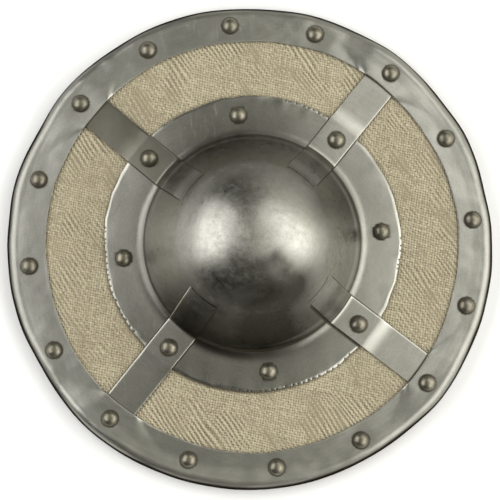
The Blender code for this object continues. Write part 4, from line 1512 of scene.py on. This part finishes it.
def rivet_points():
    """A point under each rivet's head, with the way up and the length between head and tail."""
    places, ups, holds = [], [], []
    for names, back in ((RIM_RIVETS, BACK_FLANGE_UNDER), (BOSS_RIVETS, BOARD_UNDER)):
        for number, name in enumerate(names):
            x, y = node_middle(name)
            radius = math.hypot(x, y)
            on_strap = number % 4 == 2 if names is RIM_RIVETS else number % 2 == 1
            on_grip = names is BOSS_RIVETS and number in (0, 4)
            base = PLATE_TOP + (LAP if on_strap else 0.0) - 0.0001
            slope = 2.0 * DISH_RISE * radius / DISH_RADIUS ** 2
            ups.append(Vector((slope * x / radius, slope * y / radius, 1.0)).normalized())
            places.append((x, y, base + float(dish(radius))))
            holds.append(base - back + (GRIP_HOLD if on_grip else 0.0))
    mesh = bpy.data.meshes.new("rivet_points")
    mesh.from_pydata(places, [], [])
    up = mesh.attributes.new("up", "FLOAT_VECTOR", "POINT")
    up.data.foreach_set("vector", np.array(ups, np.float32).ravel())
    points = bpy.data.objects.new("rivet_points", mesh)
    set_attribute(points, "hold", holds)
    return points


def rivet_finish(colour, roughness):
    """Aged steel, pitted and cloudy, with soil and painted shade over the lower part of the head.
    """
    finish = Finish("rivet_steel_aged", metallic=1.0)
    cloud = finish.noise(finish.place(), 240.0, 4.0, 0.65)
    pit = finish.noise(finish.place(), 1600.0, 2.0, 0.6)
    dirt_and_shade = finish.attribute("dirt_and_shade")
    tone = finish.mix(cloud.rise(0.35, 0.7), colour, darker(colour, 0.72))
    tone = finish.mix(pit.rise(0.6, 0.75) * 0.5, tone, darker(colour, 0.4))
    # Soil and painted shade over the head's lower part
    tone = finish.mix(dirt_and_shade * 0.8, tone, (0.045, 0.034, 0.022))
    height = finish.bump(cloud, 0.00012)
    height = finish.bump(pit, 0.00003, height)
    rough = roughness + 0.22 * (cloud - 0.5) + 0.28 * dirt_and_shade
    return finish.finish(
        base_color=tone, roughness=rough, metallic=1.0 - 0.4 * dirt_and_shade, normal=height
    )


def make_rivets(settings):
    """All the rivets: round heads in front, peened tails behind."""
    finish = rivet_finish(settings.colour, settings.roughness)
    head = round_head()
    values = {
        "Head": head, "Head Radius": settings.head_radius, "Head Height": settings.head_height,
        "Shank Radius": settings.shank_radius, "Tail Radius": settings.tail_radius,
        "Tail Height": settings.tail_height, "Size Spread": settings.spread,
        "Seed": settings.seed, "Metal": finish,
    }
    piece = rivet_maker().run(rivet_points(), "rivets_round", values, finish)
    bpy.data.objects.remove(head, do_unlink=True)
    stand_for(piece, "rivet_steel", *RIM_RIVETS, *BOSS_RIVETS)


# Board


def make_board(settings):
    """The wooden board: its underside shows behind, and its hole has rasped edges."""
    bend = np.radians(np.linspace(0.0, 90.0, 5))
    inwards, level = 1.0 - np.sin(bend), 1.0 - np.cos(bend)
    lower, upper = settings.rounding, 0.5 * settings.rounding
    rings = np.linspace(settings.radius, 0.070, 16)
    radii = [*rings, *(HAND_HOLE_RADIUS + lower * inwards)]
    radii += [*(HAND_HOLE_RADIUS + upper * inwards)[::-1], *rings[::-1]]
    heights = [*np.full_like(rings, BOARD_UNDER), *(BOARD_UNDER + lower * level)]
    heights += [*(BOARD_TOP - upper * level)[::-1], *np.full_like(rings, BOARD_TOP)]
    grid = spin_grid(radii, heights, 288)
    grid[..., 2] += dish(np.hypot(grid[..., 0], grid[..., 1]))
    finish = wood_finish(settings.light, settings.dark, settings.plank)
    piece = add_piece("board_planed", grid.reshape(-1, 3), closed_faces(grid), finish, sharp=50.0)
    stand_for(piece, "board_wood", "board")


# Grip


BAR_CORNER = 0.007
SLEEVE_WAIST = 0.045  # how much narrower the sleeve is in its middle, as a share
SLEEVE_WALL = 0.0012


def bar_top(settings, along, side):
    """Height of the bar's upper face."""
    outwards = np.maximum(np.abs(along), settings.shoulder)
    place = np.hypot(GRIP_SHIFT[0] + outwards * np.sign(along), GRIP_SHIFT[1] + side)
    up = 1.0 - ease(np.abs(along), settings.knee, settings.shoulder)
    return BOARD_UNDER - 0.0003 + dish(place) + settings.rise * up


def make_bar(settings):
    """The forged bar across the back of the board, risen in its middle for the hand."""
    half, end = 0.5 * settings.width, settings.end
    along, side = np.meshgrid(
        end * edged_row(0.9965, 0.99, 0.98, 111), half * edged_row(0.965, 0.9, 0.8, 9),
        indexing="ij",
    )
    past = np.clip(np.abs(along) - (end - BAR_CORNER), 0.0, BAR_CORNER)
    side = side * (1.0 - (BAR_CORNER - np.sqrt(BAR_CORNER ** 2 - past ** 2)) / half)
    drop = 0.0005 * ease(np.abs(side), 0.88 * half, half) ** 2
    height = bar_top(settings, along, side) - drop + 0.00008 * ripple(along, side, 0.02, 71)
    grid = np.stack([along + GRIP_SHIFT[0], side + GRIP_SHIFT[1], height - 0.00015], axis=-1)
    points, faces = plate(grid, settings.thickness - 0.0002, False, bulge=0.0004)
    forging = round_brushing((0.0, 0.0, 0.0), 0.0012, 22.0)
    soil_and_shade = (0.05, 0.035, 0.025)
    finish = steel_finish(
        "grip_iron_forged", (settings.iron, soil_and_shade, soil_and_shade), 0.52, forging, (0.9,), mottle=0.3
    )
    piece = add_piece("grip_forged", points, faces, finish, sharp=50.0)
    from_middle = np.abs(mesh_points(piece.data)[:, 0] - GRIP_SHIFT[0])
    set_attribute(piece, "dirt_and_shade", 0.7 * (1.0 - ease(from_middle, 0.044, 0.049)))
    set_attribute(piece, "wear_and_highlight", ease(from_middle, 0.09, 0.096))
    stand_for(piece, "grip_iron", "grip")


def sleeve_section(turn, settings):
    """Across and upright place of the sleeve's surface in one direction: a rounded oblong."""
    across, upright = (
        np.sign(part) * np.abs(part) ** 0.6 for part in (np.cos(turn), np.sin(turn))
    )
    return across * settings.wrap_half_width, upright * settings.wrap_half_height


def make_sleeve(settings, middle):
    """Leather sewn round the bar, its seam along the back."""
    half_length, half_height = settings.wrap_half_length, settings.wrap_half_height
    along, turn = np.meshgrid(
        np.linspace(-1.0, 1.0, 121), np.linspace(0.0, math.tau, 97)[:-1], indexing="ij"
    )
    across, upright = sleeve_section(turn, settings)
    length = along * half_length
    waist = 1.0 - SLEEVE_WAIST * (1.0 - along ** 2) - 0.10 * ease(np.abs(along), 0.965, 1.0)
    crease = 0.00010 * ripple(length, across + 0.7 * upright, 0.010, 81)
    seam = 0.0007 * hump(across, 0.0016) * (upright < 0.0)
    scale = waist + crease / half_height
    x, y = GRIP_SHIFT[0] + length, GRIP_SHIFT[1] + across * scale
    outer = np.stack([x, y, middle + upright * scale + seam], axis=-1)
    # A ring at each end of the bore that the bar fills
    y = GRIP_SHIFT[1] + across[0] * (0.5 * settings.width + 0.0004) / settings.wrap_half_width
    z = middle + upright[0] * (half_height - SLEEVE_WALL) / half_height * 0.5
    ends = GRIP_SHIFT[0] + 0.985 * half_length, GRIP_SHIFT[0] - 0.985 * half_length
    bore = [np.stack([np.full_like(y, end), y, z], axis=-1) for end in ends]
    grid = np.concatenate([outer, bore])
    finish = leather_finish(settings.leather, settings.brightened)
    piece = add_piece("grip_wrap_sewn", grid.reshape(-1, 3), closed_faces(grid), finish, sharp=60.0)
    x, y, _ = mesh_points(piece.data).T
    from_middle = np.abs(x - GRIP_SHIFT[0])
    sides = ease(np.abs(y - GRIP_SHIFT[1]), 0.008, 0.0145) * (1.0 - ease(from_middle, 0.03, 0.046))
    set_attribute(piece, "wear_and_highlight", np.maximum(sides, ease(from_middle, 0.0435, 0.0455)))
    stand_for(piece, "grip_leather", "grip_wrap")


def stitch_maker():
    """Tree that lays a short thread across a line at each step along it."""
    maker = Maker(
        "Stitches",
        {
            "Seam": "geometry", "Pitch": "float", "Stitch Length": "float",
            "Thread Radius": "float", "Lean": "float", "Thread": "material",
        },
    )
    seam = maker.node("GeometryNodeMeshToCurve", None, {"Mesh": maker.given("Seam")})
    steps = maker.node(
        "GeometryNodeResampleCurve", {"mode": "LENGTH"},
        {"Curve": seam, "Length": maker.given("Pitch")},
    )
    thread = maker.node(
        "GeometryNodeMeshUVSphere", None, {"Segments": 8, "Rings": 8, "Radius": 1.0}
    )
    half, radius = maker.given("Stitch Length") * 0.5, maker.given("Thread Radius")
    size = maker.join(radius, half, radius)
    lean = maker.join(0.0, 0.0, maker.given("Lean"))
    maker.end(maker.copies(steps, thread, lean, size), maker.given("Thread"))
    return maker


def make_stitches(settings, middle):
    """Slanting stitches along the sleeve's seam."""
    half_length, half_height = settings.wrap_half_length, settings.wrap_half_height
    along = (half_length - 0.005) * np.linspace(-1.0, 1.0, 25)
    waist = half_height * SLEEVE_WAIST * (1.0 - (along / half_length) ** 2)
    z = middle - half_height + waist + 0.00045
    points = np.stack([GRIP_SHIFT[0] + along, np.full_like(along, GRIP_SHIFT[1]), z], axis=-1)
    mesh = bpy.data.meshes.new("seam_line")
    mesh.from_pydata(points.tolist(), [(at, at + 1) for at in range(len(points) - 1)], [])
    finish = thread_finish(settings.thread)
    values = {
        "Pitch": settings.stitch_pitch, "Stitch Length": settings.stitch_length,
        "Thread Radius": settings.stitch_radius, "Lean": 0.5, "Thread": finish,
    }
    source = bpy.data.objects.new("seam_line", mesh)
    piece = stitch_maker().run(source, "grip_stitches", values, finish, sharp=180.0)
    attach(piece, "root")


def make_grip(settings):
    """The grip: a forged bar with a sewn leather sleeve."""
    middle = float(bar_top(settings, 0.0001, 0.0)) - 0.5 * settings.thickness
    make_bar(settings)
    make_sleeve(settings, middle)
    make_stitches(settings, middle)


# Stage


LAMPS = (
    # name, steps to the right and to the top, size, and the setting that holds the brightness
    ("left_soft_light", -0.83, 0.14, (1.4, 0.9), "left_light"),
    ("right_soft_light", 0.86, -0.30, (1.5, 0.8), "right_light"),
    ("upper_soft_light", 0.42, 0.42, (0.5, 0.5), "upper_light"),
)
LAMP_HEIGHT = 0.70
SKY_TINT = (1.0, 0.985, 0.88, 1.0)
AIM_HEIGHT = 0.007
FRAME_SHIFT = -0.0073
FLOOR_HALF = 3.0


def aim(thing, place, target, up):
    """Stand a lamp or the camera at a place, looking at a target, with a chosen way up."""
    back = (Vector(place) - Vector(target)).normalized()
    right = Vector(up).cross(back).normalized()
    upright = back.cross(right)
    turn = Matrix((right, upright, back)).transposed()
    thing.matrix_world = Matrix.Translation(Vector(place)) @ turn.to_4x4()


def add_lamp(name, place, size, brightness):
    """A soft rectangular light that faces the shield."""
    lamp = bpy.data.lights.new(name, "AREA")
    lamp.shape = "RECTANGLE"
    lamp.size, lamp.size_y = size
    lamp.energy = brightness * math.pi * size[0] * size[1]
    made = bpy.data.objects.new(name, lamp)
    bpy.context.scene.collection.objects.link(made)
    aim(made, place, (0.0, 0.0, 0.0), (0.0, 0.0, 1.0))


def light_sky(settings, top, right):
    """Even grey light: dim beyond the bottom and the left, lighter beyond the top and right."""
    world = bpy.data.worlds.new("even_light")
    bpy.context.scene.world = world
    world.use_nodes = True
    sky = NodeTree(world.node_tree)
    way = sky.node("ShaderNodeTexCoord", output="Generated")

    def towards(direction):
        return sky.node(
            "ShaderNodeVectorMath",
            {"operation": "DOT_PRODUCT"},
            {0: way, 1: tuple(direction)},
            "Value",
        )

    brightness = towards(top).rise(-1.0, 0.1, settings.sky_bottom, settings.sky_top)
    above = towards((0.0, 0.0, 1.0)).larger(0.0)
    brightness = brightness + settings.sky_middle * above.power(4.0)
    brightness = brightness + settings.sky_edge * (1.0 - above).power(3.0)
    brightness = brightness * (towards(right - 0.1 * top) * settings.sky_lean + 1.0).larger(0.1)
    background = world.node_tree.nodes["Background"]
    background.inputs["Color"].default_value = SKY_TINT
    sky.connect(brightness, background.inputs["Strength"])


def make_stage(settings):
    """Pale floor, soft lights at both sides, and the camera nearly straight above."""
    scene = bpy.context.scene
    right = Vector((math.cos(settings.roll), math.sin(settings.roll), 0.0))
    top = Vector((-math.sin(settings.roll), math.cos(settings.roll), 0.0))
    camera = bpy.data.cameras.new("camera")
    camera.lens = settings.focal
    camera.clip_end = 20.0
    camera.shift_y = FRAME_SHIFT
    eye = bpy.data.objects.new("camera", camera)
    scene.collection.objects.link(eye)
    target = Vector((0.0, 0.0, AIM_HEIGHT))
    lean = -math.sin(settings.tilt) * top + Vector((0.0, 0.0, math.cos(settings.tilt)))
    aim(eye, target + lean * settings.distance, target, top)
    scene.camera = eye

    for name, to_right, to_top, size, brightness in LAMPS:
        place = Vector((0.0, 0.0, LAMP_HEIGHT)) + to_right * right + to_top * top
        add_lamp(name, place, size, getattr(settings, brightness))
    light_sky(settings, top, right)
    scene.view_settings.view_transform = "Standard"

    floor = bpy.data.meshes.new("floor")
    near, far = -FLOOR_HALF, FLOOR_HALF
    corners = [(near, near, 0.0), (far, near, 0.0), (far, far, 0.0), (near, far, 0.0)]
    floor.from_pydata(corners, [], [(0, 1, 2, 3)])
    floor.materials.append(floor_finish(settings.floor))
    ground = bpy.data.objects.new("floor", floor)
    scene.collection.objects.link(ground)


# Operators and panel


class BUCKLER_OT_rim(bpy.types.Operator):
    """Make the hammered rim"""

    bl_idname = "buckler.rim"
    bl_label = "Rim"

    def execute(self, context):
        make_rim(context.scene.buckler_rim)
        return {"FINISHED"}


class BUCKLER_OT_boss(bpy.types.Operator):
    """Make the polished boss with its snipped flange"""

    bl_idname = "buckler.boss"
    bl_label = "Boss"

    def execute(self, context):
        make_boss(context.scene.buckler_boss)
        return {"FINISHED"}


class BUCKLER_OT_straps(bpy.types.Operator):
    """Make the four straps"""

    bl_idname = "buckler.straps"
    bl_label = "Straps"

    def execute(self, context):
        make_straps(context.scene.buckler_straps, context.scene.buckler_boss)
        return {"FINISHED"}


class BUCKLER_OT_board(bpy.types.Operator):
    """Make the planed wooden board"""

    bl_idname = "buckler.board"
    bl_label = "Board"

    def execute(self, context):
        make_board(context.scene.buckler_board)
        return {"FINISHED"}


class BUCKLER_OT_linen(bpy.types.Operator):
    """Make the woven linen"""

    bl_idname = "buckler.linen"
    bl_label = "Linen"

    def execute(self, context):
        make_linen(context.scene.buckler_linen)
        return {"FINISHED"}


class BUCKLER_OT_rivets(bpy.types.Operator):
    """Make all the rivets"""

    bl_idname = "buckler.rivets"
    bl_label = "Rivets"

    def execute(self, context):
        make_rivets(context.scene.buckler_rivets)
        return {"FINISHED"}


class BUCKLER_OT_grip(bpy.types.Operator):
    """Make the forged grip with its sewn leather sleeve"""

    bl_idname = "buckler.grip"
    bl_label = "Grip"

    def execute(self, context):
        make_grip(context.scene.buckler_grip)
        return {"FINISHED"}


class BUCKLER_OT_stage(bpy.types.Operator):
    """Set up the floor, the lights and the camera"""

    bl_idname = "buckler.stage"
    bl_label = "Stage"

    def execute(self, context):
        make_stage(context.scene.buckler_stage)
        return {"FINISHED"}


GROUPS = {
    "buckler_rim": RimSettings,
    "buckler_boss": BossSettings,
    "buckler_straps": StrapSettings,
    "buckler_board": BoardSettings,
    "buckler_linen": LinenSettings,
    "buckler_rivets": RivetSettings,
    "buckler_grip": GripSettings,
    "buckler_stage": StageSettings,
}
OPERATORS = (
    BUCKLER_OT_rim,
    BUCKLER_OT_boss,
    BUCKLER_OT_straps,
    BUCKLER_OT_board,
    BUCKLER_OT_linen,
    BUCKLER_OT_rivets,
    BUCKLER_OT_grip,
    BUCKLER_OT_stage,
)


class BUCKLER_PT_dress(bpy.types.Panel):
    """Lists the pieces of the buckler's dress and their settings"""

    bl_idname = "BUCKLER_PT_dress"
    bl_label = "Buckler Dress"
    bl_space_type = "VIEW_3D"
    bl_region_type = "UI"
    bl_category = "Buckler"

    def draw(self, context):
        for operator, group in zip(OPERATORS, GROUPS):
            box = self.layout.box()
            box.operator(operator.bl_idname)
            settings = getattr(context.scene, group)
            for name in settings.__annotations__:
                box.prop(settings, name)


CLASSES = (*GROUPS.values(), *OPERATORS, BUCKLER_PT_dress)


def register():
    for kind in CLASSES:
        bpy.utils.register_class(kind)
    for name, kind in GROUPS.items():
        setattr(bpy.types.Scene, name, PointerProperty(type=kind))


def unregister():
    for name in GROUPS:
        delattr(bpy.types.Scene, name)
    for kind in reversed(CLASSES):
        bpy.utils.unregister_class(kind)


def main():
    """Make every piece and the stage."""
    register()
    bpy.ops.buckler.rim()
    bpy.ops.buckler.boss()
    bpy.ops.buckler.straps()
    bpy.ops.buckler.board()
    bpy.ops.buckler.linen()
    bpy.ops.buckler.rivets()
    bpy.ops.buckler.grip()
    bpy.ops.buckler.stage()


if __name__ == "__main__":
    main()
